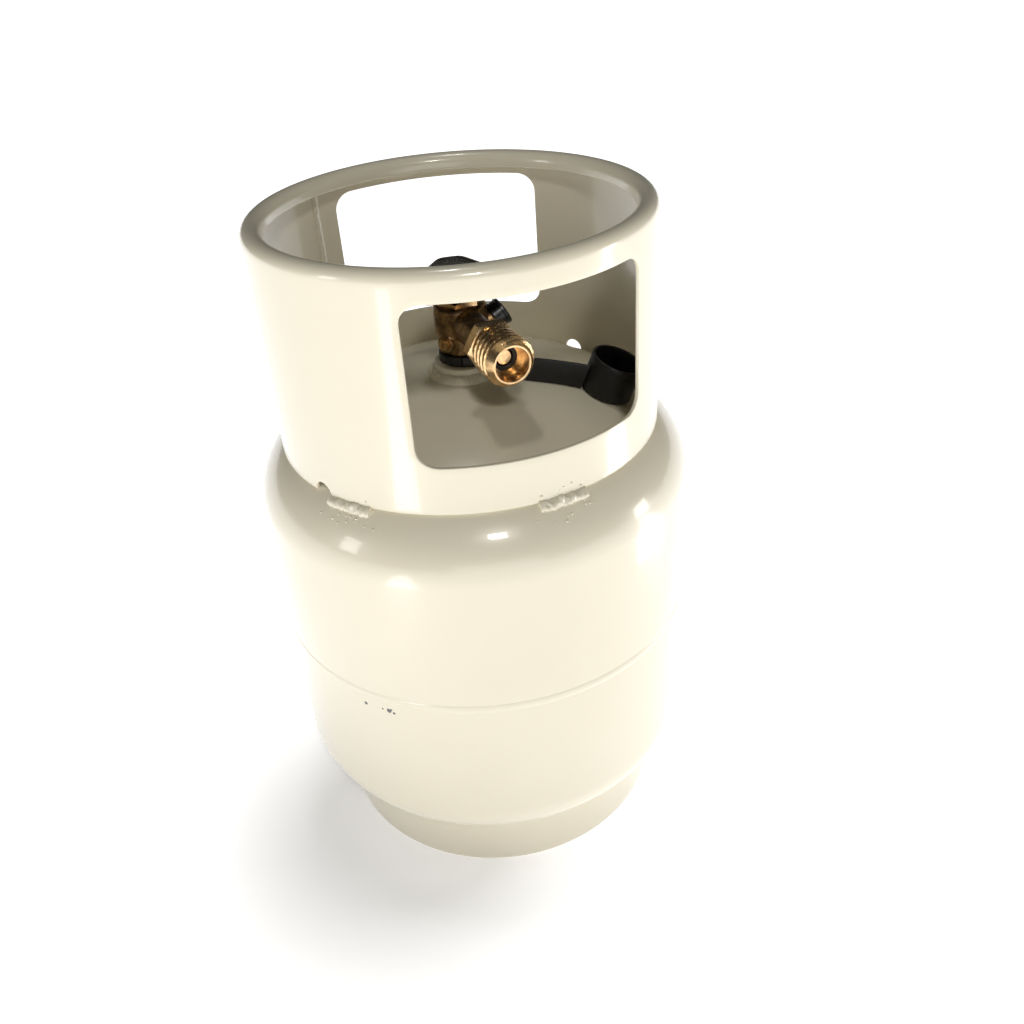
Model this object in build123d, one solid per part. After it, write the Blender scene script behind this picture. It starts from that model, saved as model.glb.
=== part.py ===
from build123d import *
import math
import os

# Refillable steel propane cylinder with a welded collar, a foot ring and a brass stop-fill valve.
# Millimetres. The origin is the centre of the foot ring's underside, +Z is up, and the valve's
# outlet looks along -Y. Azimuths are degrees from -Y, positive towards +X.

# ---- vessel ----
body_radius = 155.0
shell_wall = 2.2
head_ratio = 0.5          # depth over radius of the ellipsoidal heads
lower_tangent_z = 88.5
upper_tangent_z = 289.5
girth_z = 189.0
girth_bead_width = 7.0
girth_bead_height = 0.9
backing_lip = 8.0         # the lower half's stepped lip, inside the upper half

# ---- foot ring ----
foot_radius = 129.2
foot_wall = 2.6
foot_flange = 11.0
foot_bend = 5.0
foot_bead = 3.2

# ---- collar ----
collar_radius = 133.6
collar_wall = 2.6
overall_height = 484.5
rim_curl_radius = 7.2
rim_lip_drop = 11.0
collar_turn = 0.0         # how far the collar is welded round from the outlet's direction
window_low_z = 363.9
window_high_z = 465.9
window_corner = 12.0
front_window_half = 34.4
back_window_half = 34.3
back_window_turn = 165.6
notch_radius = 7.4
notch_azimuths = (-66.6, 118.4)
stitch_azimuths = (-56.5, 3.7, 96.0, 178.0)
stitch_half_angle = 7.0
stitch_leg = 4.5
seam_azimuth = -152.0
seam_width = 5.0
seam_height = 0.8

# ---- spud, the threaded boss in the top head ----
spud_radius = 21.5
spud_top_z = 375.0
spud_depth = 24.0
spud_weld_leg = 5.5
inlet_radius = 13.2       # the valve's taper-threaded shank, at mid-thread
neck_collar_radius = 14.6 # plain stretch between the spud and the wrench flats
neck_collar_z = 375.3

# ---- valve body ----
shank_low_z = 350.0
barrel_chamfer = 1.7
flats_chamfer = 1.2
join = 1.0                # how far joined lumps of one piece run into each other
seat_rim = 1.0
relief_passage = 3.0
vent_passage = 1.0
flats_low_z = 382.8
flats_across = 29.6
barrel_low_z = 394.5
barrel_high_z = 415.5
barrel_radius = 18.2
inlet_bore = 4.6
seat_z = 391.0
seat_bore = 4.2
piston_rise = 3.2         # the disc's height on the seat
piston_height = 6.0
screw_grip = 0.7          # how far the stem's lifting screw reaches into the shut piston
seat_travel = 3.1         # the piston's lift when the handwheel is fully open
chamber_radius = 8.2
running_gap = 0.05
free_gap = 0.4
spring_gap = 0.2
seat_disc_radius = 6.6

# ---- outlet ----
outlet_z = 403.7
outlet_face = 87.6
thread_radius = 16.67
thread_root_radius = 14.6
thread_low = 62.0
nose_radius = 12.6
nose_length = 4.2
thread_start = 1.5        # length of the thread's lead-in
hex_near = 49.9
hex_far = 58.9
hex_across = 31.75
neck_radius = 11.5
spigot_radius = 9.4
spigot_length = 12.0
outlet_bore = 11.1
outlet_bore_depth = 11.8  # the clear bore, down to the seal's pocket
seal_pocket_radius = 10.4
seal_pocket_depth = 6.2
seal_inner_radius = 6.3
seal_thickness = 4.0
retainer_inner_radius = 8.4
retainer_thickness = 1.9
outlet_passage = 5.0
check_radius = 7.4
check_head = 4.7          # thickness of the check's head
check_travel = 5.0
check_coil_room = 10.4    # the spring's length when the check is pushed fully in
check_wire_radius = 0.45
check_coil_radius = 6.3
nose_rounding = 1.2

# ---- stem and handwheel ----
bonnet_across = 27.0
bonnet_height = 4.6
bonnet_spigot = 10.0
bonnet_spigot_depth = 5.0
packing_wall = 2.0
packing_height = 4.0
packing_depth = 1.0       # how far the packing reaches down into the spigot
stem_radius = 4.0
stem_shoulder = 6.2
shoulder_thickness = 3.0
stem_square_drop = 5.0    # the stem's end below the wheel's top
lift_screw_radius = 3.2
screw_radius = 1.9
screw_depth = 9.0
screw_head_radius = 4.0
screw_seat_depth = 2.6
washer_thickness = 0.8
screw_head_height = 2.4
screw_slot = 0.8
wheel_low_z = 424.6
wheel_high_z = 436.8
wheel_flat_distance = 23.9
wheel_corner_distance = 33.5
wheel_turn = 167.0        # azimuth of one corner with the valve shut
wheel_skirt = 3.0
wheel_hub_radius = 9.0
wheel_top_thickness = 4.0
wheel_corner_fillet = 7.0
wheel_top_fillet = 1.6

# ---- relief valve ----
relief_tilt = 28.0
relief_z = 386.6
relief_boss_radius = 10.0
relief_boss_end = 26.0
relief_housing_radius = 7.6
relief_start = 15.0
relief_end = 33.0
relief_cover_radius = 10.0
relief_cover_start = 26.4
relief_cover_end = 36.2
relief_bore = 5.6
relief_seat_radius = 3.2
relief_seat_depth = 2.0
relief_head = 3.5         # thickness of the poppet's head
relief_retainer_thickness = 2.5
relief_wire_radius = 0.6
relief_coil_radius = 3.9
relief_guide_radius = 1.6
relief_guide_length = 4.0
cover_chamfer = 1.0
cover_hole_radius = 1.1
cover_hole_offset = 4.2

# ---- vent screw ----
vent_z = 392.5
vent_azimuth = -58.0      # it faces the front window, to the left of the outlet
vent_radius = 3.0
vent_head_radius = 3.8
vent_boss_radius = 6.0
vent_boss_end = 19.2
vent_depth = 9.0          # how far its bore runs in from the barrel's wall
vent_head_height = 2.4
vent_slot = 1.0

# ---- parts hanging inside ----
gauge_radius = 1.4
gauge_wall = 0.5
gauge_socket_depth = 17.0
gauge_length = 85.0
gauge_offset = 7.0
stop_radius = 10.4
stop_low_z = 318.0
stop_socket_radius = 9.0
stop_socket_depth = 9.0
stop_bore = 5.2
stop_shelf_z = 338.0
stop_bore_top_z = 348.0
stop_passage = 3.4
stop_pin_inset = 1.5
stop_piston_height = 14.0
stop_nose_radius = 2.2
stop_nose_height = 4.0
cam_gap = 0.6             # between the cam and the piston's nose at rest
stop_fork_z = 330.0
ear_inside = 5.6
cam_radius = 4.2
cam_offset = 1.8
float_radius = 7.8
float_length = 52.0
float_rounding = 3.0
float_offset = 2.6
pivot_z = 322.5
pivot_pin_radius = 1.25
arm_width = 4.0
arm_thickness = 3.0
arm_reach = 8.0           # the stalk's length below the housing

# ---- dust cap and strap ----
strap_azimuth = 63.5      # the direction in which the tether leaves the loop, along a tangent
strap_thickness = 2.2
strap_height = 17.0
strap_loop_low = 375.4
strap_loop_high = 382.2
cap_along = 97.0          # the cup's centre, measured along the tether
cap_aside = 9.5           # and beside the valve's axis
cap_inner_radius = 16.8
cap_wall = 1.9
cap_height = 25.5
cap_floor = 3.0
strap_stations = 12
strap_drop_end = 34.0     # where the band has come down off the spud's weld to the dome
strap_drop_length = 12.0
strap_rise_start = 8.0    # where the band is past the wrench flats and may stand taller

# ---- places worked out from the sizes above ----
pocket_mouth = outlet_face - outlet_bore_depth
seal_near = pocket_mouth - seal_pocket_depth
seal_far = seal_near + seal_thickness
check_low = seal_near - running_gap - check_head - free_gap
check_back = check_low - check_travel - check_coil_room
packing_outer = stem_radius + packing_wall
packing_low = barrel_high_z - packing_depth
shoulder_low = barrel_high_z - bonnet_spigot_depth - shoulder_thickness - free_gap
piston_low = seat_z + piston_rise
piston_high = piston_low + piston_height
lift_screw_low = piston_high - screw_grip
stem_top = wheel_high_z - stem_square_drop
screw_seat_z = wheel_high_z - screw_seat_depth
washer_top = screw_seat_z + washer_thickness
relief_seat_at = relief_start + relief_seat_depth
relief_head_end = relief_seat_at + relief_head
relief_retainer_near = relief_end - relief_retainer_thickness
arm_low_z = stop_low_z - arm_reach
cap_outer = cap_inner_radius + cap_wall
standing = (Align.CENTER, Align.CENTER, Align.MIN)

os.makedirs("parts", exist_ok=True)
parts = {}


# ---- helpers ----
def put(name, shape):
    """Keeps one named piece; it is written at the end."""
    parts[name] = shape


def profile(*edges):
    """A closed face in the XZ plane: x is the distance from the Z axis."""
    return Plane.XZ * make_face(Curve() + list(edges))


def polygon_xz(points):
    return Plane.XZ * make_face(Polyline(*points, close=True))


def turned(points):
    """A body of revolution about Z with a straight-sided section."""
    return revolve(polygon_xz(points), Axis.Z)


def ring(inner, outer, low, high):
    return turned([(inner, low), (outer, low), (outer, high), (inner, high)])


def rod(radius, low, high):
    return Pos(0, 0, low) * Cylinder(radius, high - low, align=standing)


def hexagon(across, low, high, bevel=1.0):
    """A hexagonal nut blank along Z with its corners turned down at both ends."""
    corner = across / 2 / math.cos(math.radians(30))
    blank = extrude(Pos(0, 0, low) * RegularPolygon(corner, 6), high - low)
    dressed = turned([(0, low), (corner - bevel, low), (corner, low + bevel * 0.6),
                      (corner, high - bevel * 0.6), (corner - bevel, high), (0, high)])
    return blank & dressed


def azimuth(shape, degrees):
    """Turns a shape built facing -Y so that it faces the given azimuth."""
    return Rot(0, 0, degrees) * shape


def head_height(radius, tangent_radius=body_radius):
    """How far an ellipsoidal head stands beyond its tangent line at a radius."""
    return head_ratio * body_radius * math.sqrt(1 - (radius / tangent_radius) ** 2)


def top_dome_z(radius):
    return upper_tangent_z + head_height(radius)


def bottom_dome_z(radius):
    return lower_tangent_z - head_height(radius)


def head_arc(tangent_z, wall, start_radius, end_radius, sign):
    """Part of a head's surface, wall inside the outer one, between two radii; sign is the pole's side."""
    across = body_radius - wall
    deep = head_ratio * body_radius - wall
    first = math.degrees(math.acos(start_radius / across))
    last = math.degrees(math.acos(end_radius / across))
    if sign < 0:
        first, last = -first, -last
    return EllipticalCenterArc((0, tangent_z), across, deep, first, arc_size=last - first)


def inner_head_z(radius, tangent_z, sign):
    across = body_radius - shell_wall
    deep = head_ratio * body_radius - shell_wall
    return tangent_z + sign * deep * math.sqrt(1 - (radius / across) ** 2)


outlet_plane = Plane(origin=(0, 0, outlet_z), x_dir=(1, 0, 0), z_dir=(0, -1, 0))
relief_dir = (math.cos(math.radians(relief_tilt)), 0, math.sin(math.radians(relief_tilt)))
relief_plane = Plane(origin=(0, 0, relief_z), x_dir=(0, 1, 0), z_dir=relief_dir)
vent_dir = (math.sin(math.radians(vent_azimuth)), -math.cos(math.radians(vent_azimuth)), 0)
vent_plane = Plane(origin=(0, 0, vent_z), x_dir=(0, 0, 1), z_dir=vent_dir)


# ---- vessel ----
def lower_shell():
    """Deep-drawn bottom half: an ellipsoidal head, the wall, and a lip stepped in for the girth joint."""
    inside = body_radius - shell_wall
    lip = inside - shell_wall
    pole = lower_tangent_z - head_ratio * body_radius
    section = profile(
        Line((0, pole), (0, pole + shell_wall)),
        head_arc(lower_tangent_z, shell_wall, 0, inside, -1),
        Polyline((inside, lower_tangent_z), (inside, girth_z - backing_lip), (lip, girth_z - backing_lip / 2),
                 (lip, girth_z + backing_lip), (inside, girth_z + backing_lip), (inside, girth_z),
                 (body_radius, girth_z), (body_radius, lower_tangent_z)),
        head_arc(lower_tangent_z, 0, 0, body_radius, -1),
    )
    return revolve(section, Axis.Z)


def upper_shell():
    """Deep-drawn top half, holed at the pole for the spud."""
    inside = body_radius - shell_wall
    section = profile(
        head_arc(upper_tangent_z, 0, spud_radius, body_radius, 1),
        Polyline((body_radius, upper_tangent_z), (body_radius, girth_z), (inside, girth_z),
                 (inside, upper_tangent_z)),
        head_arc(upper_tangent_z, shell_wall, spud_radius, inside, 1),
        Line((spud_radius, inner_head_z(spud_radius, upper_tangent_z, 1)),
             (spud_radius, top_dome_z(spud_radius))),
    )
    return revolve(section, Axis.Z)


def girth_weld():
    half = girth_bead_width / 2
    section = profile(
        Line((body_radius, girth_z - half), (body_radius, girth_z + half)),
        ThreePointArc((body_radius, girth_z + half), (body_radius + girth_bead_height, girth_z),
                      (body_radius, girth_z - half)),
    )
    return revolve(section, Axis.Z)


put("lower_shell", lower_shell())
put("upper_shell", upper_shell())
put("girth_weld", girth_weld())


# ---- foot ring ----
def foot_ring():
    """Rolled strip: its top edge is mitred to the head and its bottom edge is bent in to stand on."""
    inside = foot_radius - foot_wall
    bend_x = foot_radius - foot_bend
    section = profile(
        head_arc(lower_tangent_z, 0, inside, foot_radius, -1),
        Line((foot_radius, bottom_dome_z(foot_radius)), (foot_radius, foot_bend)),
        CenterArc((bend_x, foot_bend), foot_bend, 270, 90),
        Polyline((bend_x, 0), (foot_radius - foot_flange, 0), (foot_radius - foot_flange, foot_wall),
                 (bend_x, foot_wall)),
        CenterArc((bend_x, foot_bend), foot_bend - foot_wall, 270, 90),
        Line((inside, foot_bend), (inside, bottom_dome_z(inside))),
    )
    return revolve(section, Axis.Z)


def foot_ring_weld():
    edge = bottom_dome_z(foot_radius)
    section = profile(
        Line((foot_radius, edge), (foot_radius, edge - foot_bead)),
        Line((foot_radius, edge - foot_bead),
             (foot_radius + foot_bead, bottom_dome_z(foot_radius + foot_bead))),
        head_arc(lower_tangent_z, 0, foot_radius, foot_radius + foot_bead, -1),
    )
    return revolve(section, Axis.Z)


put("foot_ring", foot_ring())
put("foot_ring_weld", foot_ring_weld())


# ---- collar ----
collar_low_z = top_dome_z(collar_radius - collar_wall)


def window_cutter(half_angle):
    """A rounded block facing -Y that punches one window through the collar."""
    wide = 2 * collar_radius * math.sin(math.radians(half_angle))
    tall = window_high_z - window_low_z
    outline = Plane(origin=(0, 0, (window_high_z + window_low_z) / 2), x_dir=(1, 0, 0), z_dir=(0, -1, 0)) \
        * RectangleRounded(wide, tall, window_corner)
    return extrude(outline, collar_radius * 1.2)


def collar():
    """Rolled sheet guard with a rolled-in top rim, two hand windows and two drain notches."""
    inside = collar_radius - collar_wall
    curl_x = collar_radius - rim_curl_radius
    curl_z = overall_height - rim_curl_radius
    lip_z = overall_height - rim_lip_drop
    lip_x = curl_x - rim_curl_radius
    section = profile(
        Polyline((inside, collar_low_z), (collar_radius, collar_low_z), (collar_radius, curl_z)),
        CenterArc((curl_x, curl_z), rim_curl_radius, 0, 180),
        Polyline((lip_x, curl_z), (lip_x, lip_z), (lip_x + collar_wall, lip_z),
                 (lip_x + collar_wall, curl_z)),
        CenterArc((curl_x, curl_z), rim_curl_radius - collar_wall, 0, 180),
        Line((inside, curl_z), (inside, collar_low_z)),
    )
    body = revolve(section, Axis.Z)
    body -= azimuth(window_cutter(front_window_half), collar_turn)
    body -= azimuth(window_cutter(back_window_half), collar_turn + back_window_turn)
    for where in notch_azimuths:
        punch = Pos(0, 0, collar_low_z) * Rot(90, 0, 0) * Cylinder(
            notch_radius, collar_radius * 1.2, align=standing)
        body -= azimuth(punch, where)
    return body


def arc_piece(section, half_angle, where):
    """A short arc of a revolved section, centred on an azimuth."""
    start = Rot(0, 0, -90 + where - half_angle) * section
    return revolve(start, Axis.Z, revolution_arc=2 * half_angle)


def collar_welds():
    """Stitch welds between the collar's foot and the dome."""
    section = profile(
        Line((collar_radius, top_dome_z(collar_radius)), (collar_radius, collar_low_z + stitch_leg)),
        Line((collar_radius, collar_low_z + stitch_leg),
             (collar_radius + stitch_leg, top_dome_z(collar_radius + stitch_leg))),
        head_arc(upper_tangent_z, 0, collar_radius, collar_radius + stitch_leg, 1),
    )
    return Compound(children=[arc_piece(section, stitch_half_angle, where) for where in stitch_azimuths])


def collar_seam_weld():
    """The collar's vertical butt weld: a bead inside and a bead outside."""
    low = collar_low_z + notch_radius
    high = overall_height - rim_lip_drop - 2.0
    half = math.degrees(seam_width / 2 / collar_radius)
    beads = []
    for face, side in ((collar_radius, 1), (collar_radius - collar_wall, -1)):
        near, far = sorted((face, face + side * seam_height))
        section = polygon_xz([(near, low), (far, low), (far, high), (near, high)])
        beads.append(arc_piece(section, half, seam_azimuth))
    return Compound(children=beads)


put("collar", collar())
put("collar_welds", collar_welds())
put("collar_seam_weld", collar_seam_weld())


# ---- spud ----
def valve_spud():
    return turned([(inlet_radius, spud_top_z - spud_depth), (spud_radius, spud_top_z - spud_depth),
                   (spud_radius, spud_top_z - 1.2), (spud_radius - 1.2, spud_top_z),
                   (inlet_radius, spud_top_z)])


def spud_weld():
    section = profile(
        Line((spud_radius, top_dome_z(spud_radius)), (spud_radius, top_dome_z(spud_radius) + spud_weld_leg)),
        Line((spud_radius, top_dome_z(spud_radius) + spud_weld_leg),
             (spud_radius + spud_weld_leg, top_dome_z(spud_radius + spud_weld_leg))),
        head_arc(upper_tangent_z, 0, spud_radius, spud_radius + spud_weld_leg, 1),
    )
    return revolve(section, Axis.Z)


put("valve_spud", valve_spud())
put("spud_weld", spud_weld())


# ---- valve body ----
def valve_body():
    """Forged brass body: shank, wrench flats, barrel, outlet neck, relief boss and vent boss."""
    edge = barrel_chamfer
    outside = rod(inlet_radius, shank_low_z, flats_low_z + join)
    outside += rod(neck_collar_radius, neck_collar_z, flats_low_z + join)
    outside += hexagon(flats_across, flats_low_z, barrel_low_z + join, flats_chamfer)
    outside += turned([(0, barrel_low_z), (barrel_radius - edge, barrel_low_z),
                       (barrel_radius, barrel_low_z + edge), (barrel_radius, barrel_high_z - edge),
                       (barrel_radius - edge, barrel_high_z), (0, barrel_high_z)])
    outside += outlet_plane.location * rod(neck_radius, 0, hex_near)
    outside += relief_plane.location * rod(relief_boss_radius, relief_seat_at, relief_boss_end)
    outside += vent_plane.location * rod(vent_boss_radius, 0, vent_boss_end)
    # the way up through the shank, the chamber, the bonnet's socket and the outlet passage
    outside -= rod(inlet_bore, shank_low_z, seat_z)
    outside -= rod(seat_bore, shank_low_z, seat_z + seat_rim)
    outside -= rod(chamber_radius, seat_z + seat_rim, barrel_high_z)
    outside -= rod(bonnet_spigot, barrel_high_z - bonnet_spigot_depth, barrel_high_z)
    outside -= outlet_plane.location * rod(outlet_passage, seat_bore, hex_near)
    outside -= outlet_plane.location * rod(spigot_radius, hex_near - spigot_length, hex_near)
    outside -= relief_plane.location * rod(relief_passage, 0, relief_start)
    outside -= relief_plane.location * rod(relief_housing_radius, relief_start, relief_boss_end)
    outside -= vent_plane.location * rod(vent_radius + running_gap, barrel_radius - vent_depth, vent_boss_end)
    outside -= vent_plane.location * rod(vent_passage, seat_bore, barrel_radius)
    # the shank's lower socket holds the stop-fill unit
    outside -= rod(stop_socket_radius, shank_low_z, shank_low_z + stop_socket_depth)
    outside -= Pos(0, -gauge_offset, 0) * rod(gauge_radius, shank_low_z, shank_low_z + gauge_socket_depth)
    return outside


put("valve_body", valve_body())


def valve_bonnet():
    """Gland nut that closes the barrel and guides the stem."""
    nut = hexagon(bonnet_across, barrel_high_z, barrel_high_z + bonnet_height)
    nut += rod(bonnet_spigot, barrel_high_z - bonnet_spigot_depth, barrel_high_z + join)
    nut -= rod(stem_radius + running_gap, barrel_high_z - bonnet_spigot_depth, barrel_high_z + bonnet_height)
    nut -= rod(packing_outer, packing_low, packing_low + packing_height)
    return nut


put("valve_bonnet", valve_bonnet())
put("stem_packing", ring(stem_radius + running_gap, packing_outer, packing_low, packing_low + packing_height))


def valve_stem():
    """Turned stem: shoulder under the bonnet, a lifting screw below and a tapped top."""
    shaft = rod(stem_radius, shoulder_low, stem_top)
    shaft += rod(stem_shoulder, shoulder_low, shoulder_low + shoulder_thickness)
    shaft += rod(lift_screw_radius, lift_screw_low, shoulder_low + join)
    shaft -= rod(screw_radius, stem_top - screw_depth, stem_top)
    return shaft


put("valve_stem", valve_stem())


# ---- seat piston and its disc ----
def seat_piston():
    """Disc holder drawn up its guide by the stem's screw, which turns in its hole."""
    floor_z = lift_screw_low - seat_travel - free_gap
    body = rod(chamber_radius - free_gap, piston_low, piston_high)
    body -= rod(lift_screw_radius + running_gap, floor_z, piston_high)
    return body


put("seat_piston", seat_piston())
put("seat_disc", rod(seat_disc_radius, seat_z + seat_rim + running_gap, piston_low))


# ---- outlet ----
def outlet_connector():
    """Screwed-in brass connector: spigot, hexagon, threaded end and a bored nose."""
    body = hexagon(hex_across, hex_near, hex_far)
    body += rod(spigot_radius, hex_near - spigot_length, hex_near + join)
    body += turned([(0, hex_far - join), (thread_root_radius, hex_far - join),
                    (thread_root_radius, thread_low), (thread_radius, thread_low + thread_start),
                    (thread_radius, outlet_face - nose_length),
                    (nose_radius, outlet_face), (0, outlet_face)])
    body -= rod(outlet_bore, pocket_mouth, outlet_face)
    body -= rod(seal_pocket_radius, seal_near, pocket_mouth)
    body -= rod(check_radius + free_gap, check_back, seal_near)
    body -= rod(outlet_passage, hex_near - spigot_length, check_back)
    return outlet_plane.location * body


put("outlet_connector", outlet_connector())
put("outlet_seal", outlet_plane.location * ring(seal_inner_radius, seal_pocket_radius, seal_near, seal_far))
put("outlet_retainer", outlet_plane.location
    * ring(retainer_inner_radius, seal_pocket_radius, seal_far, seal_far + retainer_thickness))


def outlet_check_poppet():
    """Spring-loaded check: a head behind the seal and a nose that the mating nipple pushes in."""
    nose = seal_inner_radius - free_gap
    body = turned([(0, check_low), (check_radius, check_low), (check_radius, check_low + check_head),
                   (nose, check_low + check_head), (nose, seal_far - nose_rounding),
                   (nose - nose_rounding, seal_far + free_gap), (0, seal_far + free_gap)])
    body -= rod(check_radius / 2, check_low, check_low + check_head / 2)
    return outlet_plane.location * body


def coil(mean_radius, wire_radius, low, high, turns):
    """A closed-ended compression spring as one swept wire along Z."""
    length = high - low - 2 * wire_radius
    path = Helix(pitch=length / turns, height=length, radius=mean_radius)
    section = Plane(origin=path @ 0, z_dir=path % 0) * Circle(wire_radius)
    return Pos(0, 0, low + wire_radius) * sweep(section, path=path)


put("outlet_check_poppet", outlet_check_poppet())
put("outlet_check_spring", outlet_plane.location
    * coil(check_coil_radius, check_wire_radius, check_back + spring_gap, check_low - spring_gap, 5))


# ---- stem top, handwheel ----
def wheel_outline(inset):
    """Three-cornered wheel outline with cut-back, rounded corners."""
    half_cut = (wheel_flat_distance - wheel_corner_distance / 2) / math.cos(math.radians(30))
    points = []
    for turn in (0, 120, 240):
        a = math.radians(turn)
        for across in (-half_cut, half_cut):
            x = wheel_corner_distance * math.cos(a) - across * math.sin(a)
            y = wheel_corner_distance * math.sin(a) + across * math.cos(a)
            points.append((x, y))
    face = make_face(Polyline(*points, close=True))
    rounded = fillet(face.vertices(), wheel_corner_fillet)
    return offset(rounded, -inset) if inset else rounded


def handwheel():
    """Moulded three-cornered wheel: a skirt, a web, a hub with a square socket and a raised centre."""
    tall = wheel_high_z - wheel_low_z
    body = extrude(Pos(0, 0, wheel_low_z) * wheel_outline(0), tall)
    body = fillet(body.edges().group_by(Axis.Z)[-1], wheel_top_fillet)
    body -= extrude(Pos(0, 0, wheel_low_z) * wheel_outline(wheel_skirt), tall - wheel_top_thickness)
    body += rod(wheel_hub_radius, wheel_low_z, wheel_high_z - join)
    body -= rod(stem_radius, wheel_low_z, stem_top)
    body -= rod(screw_radius + free_gap, wheel_low_z, wheel_high_z)
    body -= rod(screw_head_radius + free_gap, screw_seat_z, wheel_high_z)
    return Rot(0, 0, wheel_turn - 90) * body


put("handwheel", handwheel())
put("handwheel_washer", ring(screw_radius + spring_gap, screw_head_radius, screw_seat_z, washer_top))


def handwheel_screw():
    """Pan-head screw with a cross recess."""
    body = rod(screw_head_radius - free_gap, washer_top, washer_top + screw_head_height)
    body = fillet(body.edges().group_by(Axis.Z)[-1], screw_head_height / 3)
    body += rod(screw_radius, stem_top - screw_depth, washer_top + join)
    for turn in (0, 90):
        body -= Pos(0, 0, washer_top + screw_head_height / 2) * Rot(0, 0, turn) * Box(
            screw_head_radius, screw_slot, screw_head_height, align=standing)
    return body


put("handwheel_screw", handwheel_screw())


# ---- relief valve ----
def relief_housing():
    """Brass sleeve screwed into the boss; the poppet seats on its inner end."""
    body = rod(relief_housing_radius, relief_start, relief_end)
    body -= rod(relief_seat_radius, relief_start, relief_seat_at)
    body -= rod(relief_bore, relief_seat_at, relief_end)
    return relief_plane.location * body


def relief_poppet():
    body = rod(relief_bore - free_gap, relief_seat_at + running_gap, relief_head_end)
    body += rod(relief_guide_radius, relief_head_end - join, relief_head_end + relief_guide_length)
    return relief_plane.location * body


def relief_cover():
    """Black dust cover pressed over the sleeve's end, with a vented face."""
    body = turned([(0, relief_cover_start), (relief_cover_radius, relief_cover_start),
                   (relief_cover_radius, relief_cover_end - cover_chamfer),
                   (relief_cover_radius - cover_chamfer, relief_cover_end), (0, relief_cover_end)])
    body -= rod(relief_housing_radius, relief_cover_start, relief_end)
    for turn in range(0, 360, 90):
        body -= Rot(0, 0, turn) * Pos(cover_hole_offset, 0, 0) * rod(
            cover_hole_radius, relief_end - join, relief_cover_end)
    return relief_plane.location * body


put("relief_housing", relief_housing())
put("relief_poppet", relief_poppet())
put("relief_retainer", relief_plane.location
    * ring(relief_guide_radius + free_gap, relief_bore, relief_retainer_near, relief_end))
put("relief_spring", relief_plane.location
    * coil(relief_coil_radius, relief_wire_radius, relief_head_end + spring_gap,
           relief_retainer_near - spring_gap, 4))
put("relief_cover", relief_cover())


# ---- vent screw ----
def vent_screw():
    head_low = vent_boss_end + free_gap
    body = rod(vent_radius, barrel_radius - vent_depth * 2 / 3, head_low + join)
    body += rod(vent_head_radius, head_low, head_low + vent_head_height)
    body -= Pos(0, 0, head_low + vent_head_height / 2) * Box(
        3 * vent_head_radius, vent_slot, vent_head_height, align=standing)
    return vent_plane.location * body


put("vent_screw", vent_screw())


# ---- stop-fill unit, float and gauge tube, hanging from the shank ----
def stop_fill_housing():
    """Moulded body plugged into the shank, with a piston bore and two ears for the float's pin."""
    body = rod(stop_radius, stop_low_z, shank_low_z)
    body += rod(stop_socket_radius, shank_low_z - join, shank_low_z + stop_socket_depth)
    body -= Pos(0, 0, stop_low_z) * Box(2 * ear_inside, 4 * stop_radius, 2 * (stop_fork_z - stop_low_z))
    body -= Pos(0, 0, pivot_z) * Rot(0, 90, 0) * Cylinder(pivot_pin_radius, 4 * stop_radius)
    body -= rod(stop_bore, stop_low_z, stop_bore_top_z)
    body -= rod(stop_passage, stop_shelf_z, shank_low_z + stop_socket_depth)
    body -= Pos(0, -gauge_offset, 0) * rod(gauge_radius, stop_low_z, shank_low_z + gauge_socket_depth)
    return body


pin_length = 2 * (stop_radius - stop_pin_inset)
gauge_top = shank_low_z + stop_socket_depth * 2 / 3
put("stop_fill_housing", stop_fill_housing())
put("float_pivot_pin", Pos(0, 0, pivot_z) * Rot(0, 90, 0) * Cylinder(pivot_pin_radius, pin_length))
put("level_gauge_tube", Pos(0, -gauge_offset, 0)
    * ring(gauge_radius - gauge_wall, gauge_radius, gauge_top - gauge_length, gauge_top))


def stop_fill_piston():
    """Plunger that the arm's heel pushes up to shut the filling way."""
    low = pivot_z + cam_radius + cam_gap
    body = rod(stop_bore - free_gap, low + stop_nose_height, low + stop_piston_height)
    body += rod(stop_nose_radius, low, low + stop_nose_height + join)
    return body


def float_arm():
    """Moulded lever: an off-centre eye, which is the cam under the piston, and the float's stalk."""
    eye = Pos(0, cam_offset, pivot_z) * Rot(0, 90, 0) * Cylinder(cam_radius, arm_width)
    stalk = Pos(0, 0, arm_low_z) * Box(arm_width, arm_thickness, pivot_z - arm_low_z, align=standing)
    body = eye + stalk
    body -= Pos(0, 0, pivot_z) * Rot(0, 90, 0) * Cylinder(pivot_pin_radius + running_gap, 2 * arm_width)
    return body


put("stop_fill_piston", stop_fill_piston())
put("float_arm", float_arm())


def float_bulb():
    """Closed hollow float, slim enough to pass the spud's thread."""
    body = Pos(0, float_offset, 0) * rod(float_radius, arm_low_z - float_length, arm_low_z)
    return fillet(body.edges(), float_rounding)


put("float", float_bulb())


# ---- dust cap and strap ----
# Built with the tether running along -Y and its tangent point at -X, then turned to its azimuth.
cap_distance = math.hypot(cap_along, cap_aside)
cap_bearing = -math.degrees(math.atan2(cap_aside, cap_along))
cap_slope = math.degrees(math.atan(head_ratio * cap_distance / body_radius
                                   / math.sqrt(1 - (cap_distance / body_radius) ** 2)))
cap_plane = Plane(origin=(0, -cap_distance, top_dome_z(cap_distance)), x_dir=(1, 0, 0),
                  z_dir=(0, -math.sin(math.radians(cap_slope)), math.cos(math.radians(cap_slope))))


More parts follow.
